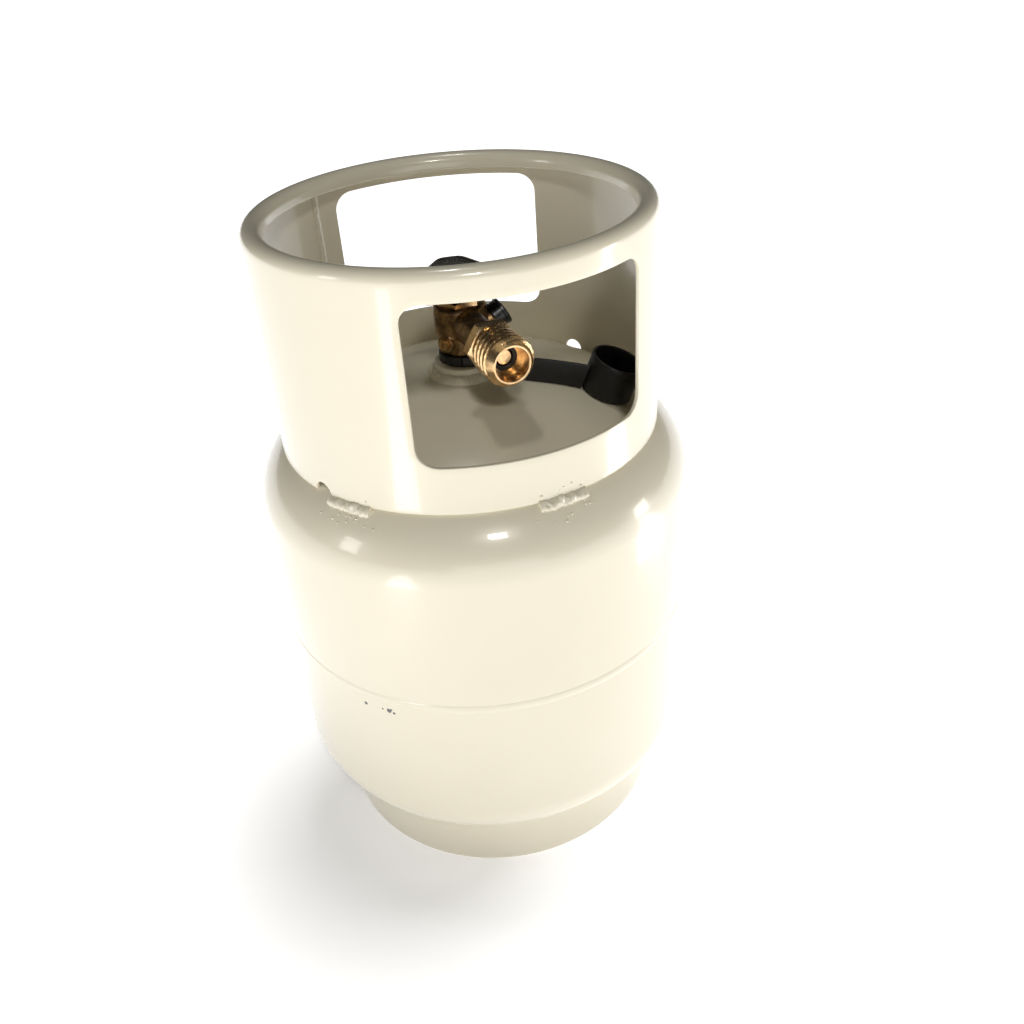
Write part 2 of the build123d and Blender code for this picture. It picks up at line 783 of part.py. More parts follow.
def dust_cap():
    """Moulded rubber cup that covers the outlet's thread; it lies mouth up on the dome."""
    body = rod(cap_outer, free_gap, free_gap + cap_height)
    body -= rod(cap_inner_radius, free_gap + cap_floor, free_gap + cap_height)
    return azimuth(cap_plane.location * body, strap_azimuth + cap_bearing)


def cap_strap():
    """Flat rubber tether on edge: a loop round the valve's neck and a band out to the cap."""
    loop_inner = neck_collar_radius + free_gap
    loop_outer = loop_inner + strap_thickness
    middle = loop_inner + strap_thickness / 2
    stop = cap_along - cap_inner_radius
    rise = strap_loop_high - strap_loop_low
    low_edge = []
    top_edge = []
    for i in range(strap_stations + 1):
        out = stop * i / strap_stations
        low = top_dome_z(math.hypot(out, middle + strap_thickness)) + free_gap
        clear = spud_top_z + free_gap - low
        lift = max(0.0, clear) * max(0.0, min(1.0, (strap_drop_end - out) / strap_drop_length))
        tall = rise + (strap_height - rise) * max(0.0, min(1.0, (out - strap_rise_start) / strap_drop_end))
        low_edge.append((out, low + lift))
        top_edge.append((out, low + lift + tall))
    side = Plane.YZ * make_face(Polyline(*low_edge, *reversed(top_edge), close=True))
    band = Rot(0, 0, 180) * extrude(side, strap_thickness / 2, both=True)
    band = Pos(-middle, 0, 0) * band
    band -= azimuth(cap_plane.location * rod(cap_outer, -cap_height, 2 * cap_height), cap_bearing)
    tether = band + ring(loop_inner, loop_outer, strap_loop_low, strap_loop_high)
    tether -= rod(loop_inner, upper_tangent_z, overall_height)
    return azimuth(tether, strap_azimuth)


put("dust_cap", dust_cap())
put("cap_strap", cap_strap())

for name, shape in parts.items():
    export_step(shape if isinstance(shape, Compound) else Compound(children=[shape]), f"parts/{name}.step")
    print(name, round(shape.volume), shape.is_valid)
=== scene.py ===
import math

import bmesh
import bpy
from mathutils import Matrix, Vector
from mathutils.geometry import delaunay_2d_cdt


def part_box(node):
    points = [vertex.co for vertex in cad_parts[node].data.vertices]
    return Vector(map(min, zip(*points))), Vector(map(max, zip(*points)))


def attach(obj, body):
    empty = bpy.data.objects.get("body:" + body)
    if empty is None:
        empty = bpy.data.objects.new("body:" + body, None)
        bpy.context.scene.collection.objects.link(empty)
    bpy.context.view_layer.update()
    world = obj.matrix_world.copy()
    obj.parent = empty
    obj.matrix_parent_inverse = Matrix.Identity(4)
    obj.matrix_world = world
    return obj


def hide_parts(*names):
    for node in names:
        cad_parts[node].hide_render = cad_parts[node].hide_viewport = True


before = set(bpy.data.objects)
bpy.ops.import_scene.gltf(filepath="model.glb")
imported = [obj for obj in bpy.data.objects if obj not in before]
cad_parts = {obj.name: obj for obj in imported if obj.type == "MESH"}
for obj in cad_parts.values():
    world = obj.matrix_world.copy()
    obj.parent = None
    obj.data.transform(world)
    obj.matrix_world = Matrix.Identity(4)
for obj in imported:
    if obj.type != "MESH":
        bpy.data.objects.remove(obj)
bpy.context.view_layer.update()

# ---- View, light and floor ----
# The cylinder stands on a pale studio floor, seen from above its left front. A low soft light in
# front fills the outside, so the inside of the guard collar stays in shade.
scene = bpy.context.scene
scene.view_settings.view_transform = "Standard"

view_from = Vector((-0.2141, -0.6089, 0.6629))
view_to = Vector((0.0233, -0.0088, 0.2435))
view_roll = math.radians(-4.35)
view_lens = 35.2
camera_data = bpy.data.cameras.new("camera")
camera_data.lens = view_lens
camera_data.sensor_width = 36.0
camera_data.clip_start = 0.01
camera = bpy.data.objects.new("camera", camera_data)
aim = (view_to - view_from).to_track_quat("-Z", "Y").to_matrix().to_4x4()
camera.matrix_world = Matrix.Translation(view_from) @ aim @ Matrix.Rotation(view_roll, 4, "Z")
scene.collection.objects.link(camera)
scene.camera = camera


def soft_light(name, place, target, width, height, watts, colour, spin_deg=0.0):
    """A rectangular soft box that looks at a point, turned about its own axis."""
    data = bpy.data.lights.new(name, "AREA")
    data.shape = "RECTANGLE"
    data.size = width
    data.size_y = height
    data.energy = watts
    data.color = colour
    lamp = bpy.data.objects.new(name, data)
    turn = (Vector(target) - Vector(place)).to_track_quat("-Z", "Y").to_matrix().to_4x4()
    lamp.matrix_world = Matrix.Translation(place) @ turn @ Matrix.Rotation(math.radians(spin_deg), 4, "Z")
    scene.collection.objects.link(lamp)


soft_light("front_lamp", (-0.33, -1.87, 2.10), (0, 0, 0.30), 0.34, 0.24, 13.0, (1.0, 0.975, 0.93))
soft_light("front_fill", (-0.90, -3.80, 0.55), (0, 0, 0.25), 3.0, 0.9, 14.0, (1.0, 0.975, 0.925))
soft_light("left_lamp", (-2.05, -0.14, 0.81), (0, 0, 0.30), 0.35, 0.60, 4.5, (1.0, 0.98, 0.94))
soft_light("right_lamp", (1.90, -0.90, 0.34), (0, 0, 0.25), 0.35, 0.50, 6.0, (1.0, 0.98, 0.94))
soft_light("overhead_lamp", (-0.03, 0.10, 2.25), (0, 0, 0.35), 0.16, 0.16, 4.0, (1.0, 1.0, 0.97))
soft_light("left_floor_panel", (-0.93, -0.60, 0.004), (-0.93, -0.601, 1.0), 0.16, 1.10, 3.0,
           (1.0, 0.99, 0.96), 57)
soft_light("right_floor_panel", (1.25, -0.60, 0.004), (1.25, -0.601, 1.0), 0.20, 1.80, 5.0,
           (1.0, 0.99, 0.96), -62)

world = bpy.data.worlds.new("studio")
world.use_nodes = True
world.node_tree.nodes["Background"].inputs["Color"].default_value = (0.90, 0.97, 1.0, 1.0)
world.node_tree.nodes["Background"].inputs["Strength"].default_value = 0.04
scene.world = world


def new_material(name):
    """A node material with one Principled shader; returns the material, its tree and the shader."""
    made = bpy.data.materials.new(name)
    made.use_nodes = True
    return made, made.node_tree, made.node_tree.nodes["Principled BSDF"]


floor_size = 60.0
floor_mesh = bpy.data.meshes.new("floor")
half = floor_size / 2
floor_mesh.from_pydata([(-half, -half, 0), (half, -half, 0), (half, half, 0), (-half, half, 0)],
                       [], [(0, 1, 2, 3)])
floor = bpy.data.objects.new("floor", floor_mesh)
scene.collection.objects.link(floor)
floor_paint, floor_tree, floor_shader = new_material("floor_paint")
floor_shader.inputs["Base Color"].default_value = (0.80, 0.80, 0.82, 1)
floor_shader.inputs["Roughness"].default_value = 0.55
floor_shader.inputs["Emission Color"].default_value = (1, 1, 1, 1)
# The floor glows like a light box. Its glow is dimmed near the cylinder's lower left as a painted shadow, and
# rises to full further out.
painted_shadow_glow = 0.34
glow_far = 1.30
painted_shadow_centre = (-0.10, -0.05, 0.0)
floor_place = floor_tree.nodes.new("ShaderNodeTexCoord").outputs["Object"]
painted_shadow_gap = floor_tree.nodes.new("ShaderNodeVectorMath")
painted_shadow_gap.operation = "DISTANCE"
painted_shadow_gap.inputs[1].default_value = painted_shadow_centre
glow_and_painted_shadow = floor_tree.nodes.new("ShaderNodeMapRange")
glow_and_painted_shadow.inputs["From Min"].default_value = 0.08
glow_and_painted_shadow.inputs["From Max"].default_value = 0.27
glow_and_painted_shadow.inputs["To Min"].default_value = painted_shadow_glow
glow_and_painted_shadow.inputs["To Max"].default_value = glow_far
floor_tree.links.new(floor_place, painted_shadow_gap.inputs[0])
floor_tree.links.new(painted_shadow_gap.outputs["Value"], glow_and_painted_shadow.inputs["Value"])
floor_tree.links.new(glow_and_painted_shadow.outputs[0], floor_shader.inputs["Emission Strength"])
floor_mesh.materials.append(floor_paint)

# ---- The vessel's two halves ----
# Two deep-drawn steel cups with 2:1 ellipsoidal heads, welded round the middle and sprayed in gloss
# cream enamel. The lower cup has a stepped lip inside the upper one; a few chips bare the steel.
shell_low, shell_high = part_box("lower_shell")
body_r = shell_high.x
head_depth = body_r / 2
wall = 0.0022
lower_tangent = shell_low.z + head_depth
girth_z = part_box("upper_shell")[0].z
spud_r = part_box("valve_spud")[1].x
upper_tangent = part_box("upper_shell")[1].z - head_depth * math.sqrt(1 - (spud_r / body_r) ** 2)


def link(tree, source, target):
    tree.links.new(source, target)


def add_node(tree, kind, settings=None, values=None):
    """Adds a node, sets its own settings, then sets or links its inputs by name or number."""
    made = tree.nodes.new(kind)
    for key, value in (settings or {}).items():
        setattr(made, key, value)
    for key, value in (values or {}).items():
        socket = made.inputs[key]
        if isinstance(value, bpy.types.NodeSocket):
            tree.links.new(value, socket)
        else:
            socket.default_value = value
    return made


def noise(tree, place, scale, detail=3.0, rough=0.5):
    """Procedural noise at a scale in cells a metre, on object coordinates."""
    return add_node(tree, "ShaderNodeTexNoise", None,
                    {"Vector": place, "Scale": scale, "Detail": detail, "Roughness": rough}).outputs["Fac"]


def ramp(tree, value, low, high, start=0.0, end=1.0):
    """Maps low..high of a value to start..end, held at both ends."""
    given = {"Value": value, "From Min": low, "From Max": high, "To Min": start, "To Max": end}
    return add_node(tree, "ShaderNodeMapRange", {"clamp": True}, given).outputs[0]


def blend_colours(tree, share, first, second):
    made = add_node(tree, "ShaderNodeMix", {"data_type": "RGBA"}, {0: share})
    for number, colour in ((6, first), (7, second)):
        if isinstance(colour, bpy.types.NodeSocket):
            tree.links.new(colour, made.inputs[number])
        else:
            made.inputs[number].default_value = (*colour, 1)
    return made.outputs[2]


def calculate(tree, kind, first, second=0.0, third=0.0):
    return add_node(tree, "ShaderNodeMath", {"operation": kind}, {0: first, 1: second, 2: third}).outputs[0]


def near_point(tree, place, point, radius, ragged):
    """1 within a ragged radius of a point, 0 outside it."""
    gap = add_node(tree, "ShaderNodeVectorMath", {"operation": "DISTANCE"},
                   {0: place, 1: point}).outputs["Value"]
    edge = calculate(tree, "MULTIPLY_ADD", ragged, radius * 1.6, radius * 0.2)
    return calculate(tree, "LESS_THAN", gap, edge)


def on_body(azimuth_deg, height):
    """A point on the body's straight wall; azimuth is from -Y towards +X."""
    a = math.radians(azimuth_deg)
    return (body_r * math.sin(a), -body_r * math.cos(a), height)


cream_light = (0.80, 0.742, 0.59)
cream_deep = (0.785, 0.725, 0.57)
bare_steel = (0.10, 0.10, 0.095)
cream_paint, tree, shader = new_material("cream_enamel")
place = add_node(tree, "ShaderNodeTexCoord").outputs["Object"]
cloud = noise(tree, place, 9.0, 2.0)
paint_colour = blend_colours(tree, ramp(tree, cloud, 0.35, 0.70), cream_light, cream_deep)
dust = noise(tree, place, 420.0, 2.0, 0.7)
speck = ramp(tree, dust, 0.735, 0.76)
paint_colour = blend_colours(tree, calculate(tree, "MULTIPLY", speck, 0.18), paint_colour, (0.50, 0.46, 0.38))
ragged = noise(tree, place, 700.0, 3.0, 0.8)
chips = None
for spot, size in ((on_body(-55.4, 0.1785), 0.0014), (on_body(-50.2, 0.1790), 0.0008),
                   (on_body(-48.3, 0.1788), 0.0019), (on_body(-46.9, 0.1775), 0.0011),
                   (on_body(-47.6, 0.1802), 0.0009)):
    found = near_point(tree, place, spot, size, ragged)
    chips = found if chips is None else calculate(tree, "MAXIMUM", chips, found)
paint_colour = blend_colours(tree, chips, paint_colour, bare_steel)
link(tree, paint_colour, shader.inputs["Base Color"])
shader.inputs["Roughness"].default_value = 0.26
shader.inputs["Coat Weight"].default_value = 0.55
shader.inputs["Coat Roughness"].default_value = 0.06
shader.inputs["IOR"].default_value = 1.5
peel = noise(tree, place, 240.0, 2.0)
swell = noise(tree, place, 16.0, 2.0)
relief = calculate(tree, "ADD", calculate(tree, "MULTIPLY", swell, 2.0), peel)
relief = calculate(tree, "SUBTRACT", relief, calculate(tree, "MULTIPLY", chips, 3.0))
bump = add_node(tree, "ShaderNodeBump", None, {"Strength": 0.14, "Distance": 0.00012, "Height": relief})
link(tree, bump.outputs["Normal"], shader.inputs["Normal"])


def smooth_by_angle(mesh_builder, degrees):
    """Smooth faces, with edges sharper than an angle kept crisp."""
    limit = math.radians(degrees)
    for face in mesh_builder.faces:
        face.smooth = True
    for edge in mesh_builder.edges:
        if len(edge.link_faces) == 2 and edge.calc_face_angle(0) > limit:
            edge.smooth = False


def make_piece(name, mesh_builder, paint, crease=38.0, placed=None):
    """Turns a finished mesh into a piece at the origin, with outward faces."""
    bmesh.ops.remove_doubles(mesh_builder, verts=mesh_builder.verts, dist=1e-7)
    bmesh.ops.recalc_face_normals(mesh_builder, faces=mesh_builder.faces)
    if placed is not None:
        mesh_builder.transform(placed)
    smooth_by_angle(mesh_builder, crease)
    mesh = bpy.data.meshes.new(name)
    mesh_builder.to_mesh(mesh)
    mesh_builder.free()
    mesh.materials.append(paint)
    piece = bpy.data.objects.new(name, mesh)
    scene.collection.objects.link(piece)
    return piece


def fasten(piece, body, slot, *nodes):
    """The piece rides on a body and stands for CAD nodes, which it hides; slot is not used."""
    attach(piece, body)
    if nodes:
        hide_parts(*nodes)
    return piece


def soften(points, radius, steps=3, closed=True):
    """Rounds the corners of an outline; a corner's cut is never over 0.45 of a side."""
    out = []
    count = len(points)
    for i, point in enumerate(points):
        if not closed and i in (0, count - 1):
            out.append(tuple(point))
            continue
        here = Vector(point)
        before = Vector(points[i - 1]) - here
        after = Vector(points[(i + 1) % count]) - here
        cut = min(radius, 0.45 * before.length, 0.45 * after.length)
        if before.angle(after) > math.radians(165):
            out.append(tuple(point))
            continue
        first = here + before.normalized() * cut
        last = here + after.normalized() * cut
        for k in range(steps + 1):
            t = k / steps
            out.append(tuple(first * (1 - t) ** 2 + here * 2 * t * (1 - t) + last * t * t))
    return out


def turned(outline, sides=192, rule=None, closed=True):
    """A turned solid about Z from (radius, height) points. An open outline starts and ends on the
    axis. rule(radius, height, angle) may reshape the radius."""
    builder = bmesh.new()
    rows = []
    for radius, height in outline:
        if radius < 1e-7:
            rows.append([builder.verts.new((0, 0, height))])
            continue
        row = []
        for i in range(sides):
            angle = math.tau * i / sides
            r = rule(radius, height, angle) if rule else radius
            row.append(builder.verts.new((r * math.cos(angle), r * math.sin(angle), height)))
        rows.append(row)
    pairs = list(zip(rows, rows[1:]))
    if closed:
        pairs.append((rows[-1], rows[0]))
    for low, high in pairs:
        for i in range(sides):
            j = (i + 1) % sides
            corners = [low[i % len(low)], low[j % len(low)], high[j % len(high)], high[i % len(high)]]
            unique = list(dict.fromkeys(corners))
            if len(unique) > 2:
                builder.faces.new(unique)
    return builder


def head_curve(tangent, inset, start_r, end_r, sign, steps=44):
    """Points on an ellipsoidal head between two radii, inset from its outside."""
    across = body_r - inset
    deep = head_depth - inset
    first = math.acos(min(1.0, start_r / across))
    last = math.acos(min(1.0, end_r / across))
    turn = [first + (last - first) * i / steps for i in range(steps + 1)]
    return [(across * math.cos(a), tangent + sign * deep * math.sin(a)) for a in turn]


def dome_z(radius):
    return upper_tangent + head_depth * math.sqrt(1 - (radius / body_r) ** 2)


def under_z(radius):
    return lower_tangent - head_depth * math.sqrt(1 - (radius / body_r) ** 2)


lip_step = 0.008
inner_r = body_r - wall
upper_outline = (head_curve(upper_tangent, 0, spud_r, body_r, 1) + [(body_r, girth_z), (inner_r, girth_z)]
                 + head_curve(upper_tangent, wall, inner_r, spud_r, 1))
vessel_upper = make_piece("vessel_upper", turned(upper_outline, 288), cream_paint)
fasten(vessel_upper, "cylinder", "cream_paint", "upper_shell")
lower_outline = (head_curve(lower_tangent, 0, 0, body_r, -1)
                 + [(body_r, girth_z), (inner_r, girth_z), (inner_r, girth_z + lip_step),
                    (inner_r - wall, girth_z + lip_step), (inner_r - wall, girth_z - lip_step / 2),
                    (inner_r, girth_z - lip_step)]
                 + head_curve(lower_tangent, wall, inner_r, 0, -1))
lower_outline[0] = (0.0, lower_outline[0][1])
lower_outline[-1] = (0.0, lower_outline[-1][1])
vessel_lower = make_piece("vessel_lower", turned(lower_outline, 288, closed=False), cream_paint)
fasten(vessel_lower, "cylinder", "cream_paint", "lower_shell")

# ---- Weld beads ----
# Laid by wire welding and painted over: the girth bead, the foot ring's fillet, the spud's fillet and
# the collar's seam. Each is a rippled bead swept along its path, with crescent ripples.


def new_tree(name, output, source, **sizes):
    """A Geometry Nodes group with a source mesh, named sizes and a paint; returns it and its inputs."""
    made = bpy.data.node_groups.new(name, "GeometryNodeTree")
    made.interface.new_socket(name=source, in_out="INPUT", socket_type="NodeSocketGeometry")
    for label, value in sizes.items():
        kind = "NodeSocketInt" if isinstance(value, int) else "NodeSocketFloat"
        socket = made.interface.new_socket(name=label.replace("_", " "), in_out="INPUT", socket_type=kind)
        socket.default_value = value
    made.interface.new_socket(name="Paint", in_out="INPUT", socket_type="NodeSocketMaterial")
    made.interface.new_socket(name=output, in_out="OUTPUT", socket_type="NodeSocketGeometry")
    return made, add_node(made, "NodeGroupInput").outputs


on_points = {"data_type": "FLOAT", "domain": "POINT"}


def geometry(tree, kind, values=None, settings=None):
    """Adds a Geometry Nodes node by its short name and gives its first output."""
    return add_node(tree, "GeometryNode" + kind, settings, values).outputs[0]


def close_tree(tree, result, given):
    """Paints the result and hands it to the group's output."""
    painted = geometry(tree, "SetMaterial", {"Geometry": result, "Material": given["Paint"]})
    tree.links.new(painted, add_node(tree, "NodeGroupOutput").inputs[0])
    return tree


def weld_tree():
    """Sweeps an oval bead along an edge path and ripples it. Inputs are sizes in metres."""
    made, given = new_tree("weld_bead", "Bead", "Path", Width=0.005, Height=0.001, Ripple_Pitch=0.0022,
                           Ripple_Depth=0.0002, Unevenness=0.0003, Seed=1.0, Lean=0.0, Taper=0.0)
    step = calculate(made, "DIVIDE", given["Ripple Pitch"], 5.0)
    curve = geometry(made, "MeshToCurve", {"Mesh": given["Path"]})
    stepped = geometry(made, "ResampleCurve", {"Curve": curve, "Length": step}, {"mode": "LENGTH"})
    along = add_node(made, "GeometryNodeSplineParameter").outputs["Length"]
    tagged = geometry(made, "StoreNamedAttribute", {"Geometry": stepped, "Name": "along", "Value": along},
                      on_points)
    tagged = geometry(made, "SetCurveTilt", {"Curve": tagged, "Tilt": given["Lean"]})
    share = add_node(made, "GeometryNodeSplineParameter").outputs["Factor"]
    centred = calculate(made, "MULTIPLY_ADD", share, 2.0, -1.0)
    outwards = calculate(made, "ABSOLUTE", centred)
    fade = calculate(made, "POWER", outwards, 5.0)
    cut = calculate(made, "MULTIPLY", fade, given["Taper"])
    thick = calculate(made, "SUBTRACT", 1.0, cut)
    tagged = geometry(made, "SetCurveRadius", {"Curve": tagged, "Radius": thick})
    ring = geometry(made, "CurvePrimitiveCircle", {"Resolution": 14, "Radius": 1.0}, {"mode": "RADIUS"})
    across = add_node(made, "GeometryNodeSplineParameter").outputs["Factor"]
    ring = geometry(made, "StoreNamedAttribute", {"Geometry": ring, "Name": "across", "Value": across},
                    on_points)
    half_width = calculate(made, "MULTIPLY", given["Width"], 0.5)
    size = add_node(made, "ShaderNodeCombineXYZ", None,
                    {"X": given["Height"], "Y": half_width, "Z": 1.0}).outputs[0]
    ring = geometry(made, "Transform", {"Geometry": ring, "Scale": size})
    swept = geometry(made, "CurveToMesh", {"Curve": tagged, "Profile Curve": ring, "Fill Caps": True})
    along_back = geometry(made, "InputNamedAttribute", {"Name": "along"}, {"data_type": "FLOAT"})
    across_back = geometry(made, "InputNamedAttribute", {"Name": "across"}, {"data_type": "FLOAT"})
    turn = calculate(made, "MULTIPLY", across_back, math.tau)
    side = calculate(made, "SINE", turn)
    bow = calculate(made, "MULTIPLY", side, side)
    count = calculate(made, "DIVIDE", along_back, given["Ripple Pitch"])
    phase = calculate(made, "MULTIPLY_ADD", bow, -0.55, count)
    saw = calculate(made, "FRACT", phase)
    ripple = calculate(made, "MULTIPLY", saw, given["Ripple Depth"])
    spot = geometry(made, "InputPosition")
    lumps = add_node(made, "ShaderNodeTexNoise", {"noise_dimensions": "4D"},
                     {"Vector": spot, "W": given["Seed"], "Scale": 230.0, "Detail": 2.0}).outputs["Fac"]
    offset_lumps = calculate(made, "SUBTRACT", lumps, 0.58)
    uneven = calculate(made, "MULTIPLY", offset_lumps, given["Unevenness"])
    total = calculate(made, "ADD", ripple, uneven)
    normal = geometry(made, "InputNormal")
    offset = add_node(made, "ShaderNodeVectorMath", {"operation": "SCALE"},
                      {0: normal, "Scale": total}).outputs[0]
    moved = geometry(made, "SetPosition", {"Geometry": swept, "Offset": offset})
    smooth = geometry(made, "SetShadeSmooth", {"Geometry": moved})
    real = geometry(made, "RealizeInstances", {"Geometry": smooth})
    return close_tree(made, real, given)


def grown(name, source, tree, values):
    """Runs a Geometry Nodes tree on a source mesh and keeps the result as a plain piece."""
    holder = bpy.data.objects.new(name, source)
    scene.collection.objects.link(holder)
    modifier = holder.modifiers.new("grow", "NODES")
    modifier.node_group = tree
    for item in tree.interface.items_tree:
        if item.in_out == "INPUT" and item.name in values:
            modifier[item.identifier] = values[item.name]
    holder.update_tag()
    bpy.context.view_layer.update()
    result = bpy.data.meshes.new_from_object(holder.evaluated_get(bpy.context.evaluated_depsgraph_get()))
    holder.modifiers.clear()
    holder.data = result
    result.name = name
    return holder


def path_mesh(paths):
    """Edge paths, each closed or open, as one mesh."""
    points = []
    edges = []
    for route, closed in paths:
        start = len(points)
        points += [tuple(p) for p in route]
        edges += [(start + i, start + i + 1) for i in range(len(route) - 1)]
        if closed:
            edges.append((start + len(route) - 1, start))
    mesh = bpy.data.meshes.new("path")
    mesh.from_pydata(points, edges, [])
    return mesh


def circle_path(radius, height, steps=360):
    return [(radius * math.cos(math.tau * i / steps), radius * math.sin(math.tau * i / steps), height)
            for i in range(steps)]


weld_nodes = weld_tree()


def weld(name, paths, width, height, seed, pitch=0.0022, depth=0.00022, uneven=0.0005, lean=0.0, taper=0.0):
    return grown(name, path_mesh(paths), weld_nodes,
                 {"Width": width, "Height": height, "Ripple Pitch": pitch, "Ripple Depth": depth,
                  "Unevenness": uneven, "Seed": seed, "Lean": lean, "Taper": taper,
                  "Paint": cream_paint})


girth_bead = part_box("girth_weld")
girth_width = girth_bead[1].z - girth_bead[0].z
bead = weld("girth_bead", [(circle_path(body_r - 0.0005, girth_z), True)], girth_width * 1.1, 0.0009, 1.0,
            depth=0.00003, uneven=0.00015)
fasten(bead, "cylinder", "cream_paint", "girth_weld")

# ---- Foot ring ----
# A rolled steel strip whose bottom edge is turned in to stand on, mitred to the lower head and
# fillet-welded round its outside. Painted with the vessel.
foot_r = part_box("foot_ring")[1].x
foot_wall = 0.0026
foot_bend = 0.005
foot_turned_in = 0.011
bend_steps = 8


def arc_points(centre, radius, start_deg, sweep_deg, steps):
    """Points on an arc in an outline's plane."""
    angles = [math.radians(start_deg + sweep_deg * i / steps) for i in range(steps + 1)]
    return [(centre[0] + radius * math.cos(a), centre[1] + radius * math.sin(a)) for a in angles]


foot_outline = [(foot_r, under_z(foot_r))]
foot_outline += arc_points((foot_r - foot_bend, foot_bend), foot_bend, 0, -90, bend_steps)
foot_outline += [(foot_r - foot_turned_in + 0.0006, 0.0), (foot_r - foot_turned_in, 0.0006),
                 (foot_r - foot_turned_in, foot_wall)]
foot_outline += arc_points((foot_r - foot_bend, foot_bend), foot_bend - foot_wall, -90, 90, bend_steps)
foot_outline += [(foot_r - foot_wall, under_z(foot_r - foot_wall))]
foot_skirt = make_piece("foot_ring_skirt", turned(foot_outline, 240), cream_paint)
fasten(foot_skirt, "cylinder", "cream_paint", "foot_ring")

foot_circle = circle_path(foot_r + 0.0009, under_z(foot_r) + 0.0002)
bead = weld("foot_bead", [(foot_circle, True)], 0.0044, 0.0013, 2.0,
            depth=0.00012, uneven=0.0005, lean=math.radians(35))
fasten(bead, "cylinder", "cream_paint", "foot_ring_weld")

# ---- Spud ----
# The threaded steel boss that the valve screws into, welded into the top head with a full fillet.
spud_low, spud_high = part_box("valve_spud")
spud_bore = 0.0132
spud_edge = 0.0014
spud_outline = soften([(spud_bore, spud_low.z), (spud_r, spud_low.z), (spud_r, spud_high.z),
                       (spud_bore, spud_high.z)], spud_edge)
spud = make_piece("spud_boss", turned(spud_outline, 120), cream_paint)
fasten(spud, "cylinder", "cream_paint", "valve_spud")
spud_fillet = 0.0085
spud_circle = circle_path(spud_r + 0.0014, dome_z(spud_r) + 0.0014, 180)
bead = weld("spud_bead", [(spud_circle, True)], spud_fillet, 0.0022,
            3.0, pitch=0.0026, depth=0.0005, uneven=0.0016, lean=math.radians(-42))
fasten(bead, "cylinder", "cream_paint", "spud_weld")

# ---- Guard collar ----
# Steel sheet punched flat with two hand windows and two drain notches, rolled into a ring, butt-welded,
# and its top edge rolled inwards into a grip. Sprayed in the same cream enamel.
collar_low, collar_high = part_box("collar")
collar_r = collar_high.x
collar_wall = 0.0026
collar_mid = collar_r - collar_wall / 2
curl_r = 0.0072
curl_mid = curl_r - collar_wall / 2
lip_drop = 0.011
collar_foot = collar_low.z
curl_z = collar_high.z - curl_r
wall_run = curl_z - collar_foot
curl_run = math.pi * curl_mid
lip_run = lip_drop - curl_r
window_low = 0.3639
window_high = 0.4659
window_corner = 0.012
windows = ((0.0, 34.4), (165.6, 34.3))
notch_r = 0.0074
notches = (-66.6, 118.4)
sheet_start = -150.0
sheet_column = 1.25
sheet_row = 0.0036


def window_edge(centre_deg, half_deg):
    """A window's outline as (azimuth in degrees, height) points, rounded as seen square on."""
    wide = collar_r * math.sin(math.radians(half_deg))
    middle = (window_low + window_high) / 2
    tall = (window_high - window_low) / 2
    points = []
    for sx, sz, start in ((1, -1, 270), (1, 1, 0), (-1, 1, 90), (-1, -1, 180)):
        centre = (sx * (wide - window_corner), middle + sz * (tall - window_corner))
        points += arc_points(centre, window_corner, start, 90, 9)
    outline = []
    for i, (x, z) in enumerate(points):
        nx, nz = points[(i + 1) % len(points)]
        steps = max(1, round(math.hypot(nx - x, nz - z) / 0.0028))
        for k in range(steps):
            t = k / steps
            across = x + (nx - x) * t
            outline.append((centre_deg + math.degrees(math.asin(across / collar_r)), z + (nz - z) * t))
    return outline


def in_window(azimuth_deg, height, margin=0.0):
    for centre_deg, half_deg in windows:
        turn = math.radians(azimuth_deg - centre_deg)
        if math.cos(turn) < 0:
            continue
        wide = collar_r * math.sin(math.radians(half_deg))
        x = max(0.0, abs(collar_r * math.sin(turn)) - (wide - window_corner))
        tall = (window_high - window_low) / 2 - window_corner
        z = max(0.0, abs(height - (window_low + window_high) / 2) - tall)
        if math.hypot(x, z) < window_corner + margin:
            return True
    return False


def in_notch(azimuth_deg, height, margin=0.0):
    for centre_deg in notches:
        x = math.radians(azimuth_deg - centre_deg) * collar_r
        if math.hypot(x, height - collar_foot) < notch_r + margin:
            return True
    return False


def collar_place(azimuth_deg, run):
    """Where a point of the flat sheet ends up: run is the distance up the sheet from its foot."""
    if run <= wall_run:
        radius, height = collar_mid, collar_foot + run
    elif run <= wall_run + curl_run:
        a = (run - wall_run) / curl_mid
        radius = collar_r - curl_r + curl_mid * math.cos(a)
        height = curl_z + curl_mid * math.sin(a)
    else:
        radius = collar_r - curl_r - curl_mid
        height = curl_z - (run - wall_run - curl_run)
    a = math.radians(azimuth_deg)
    return (radius * math.sin(a), -radius * math.cos(a), height)


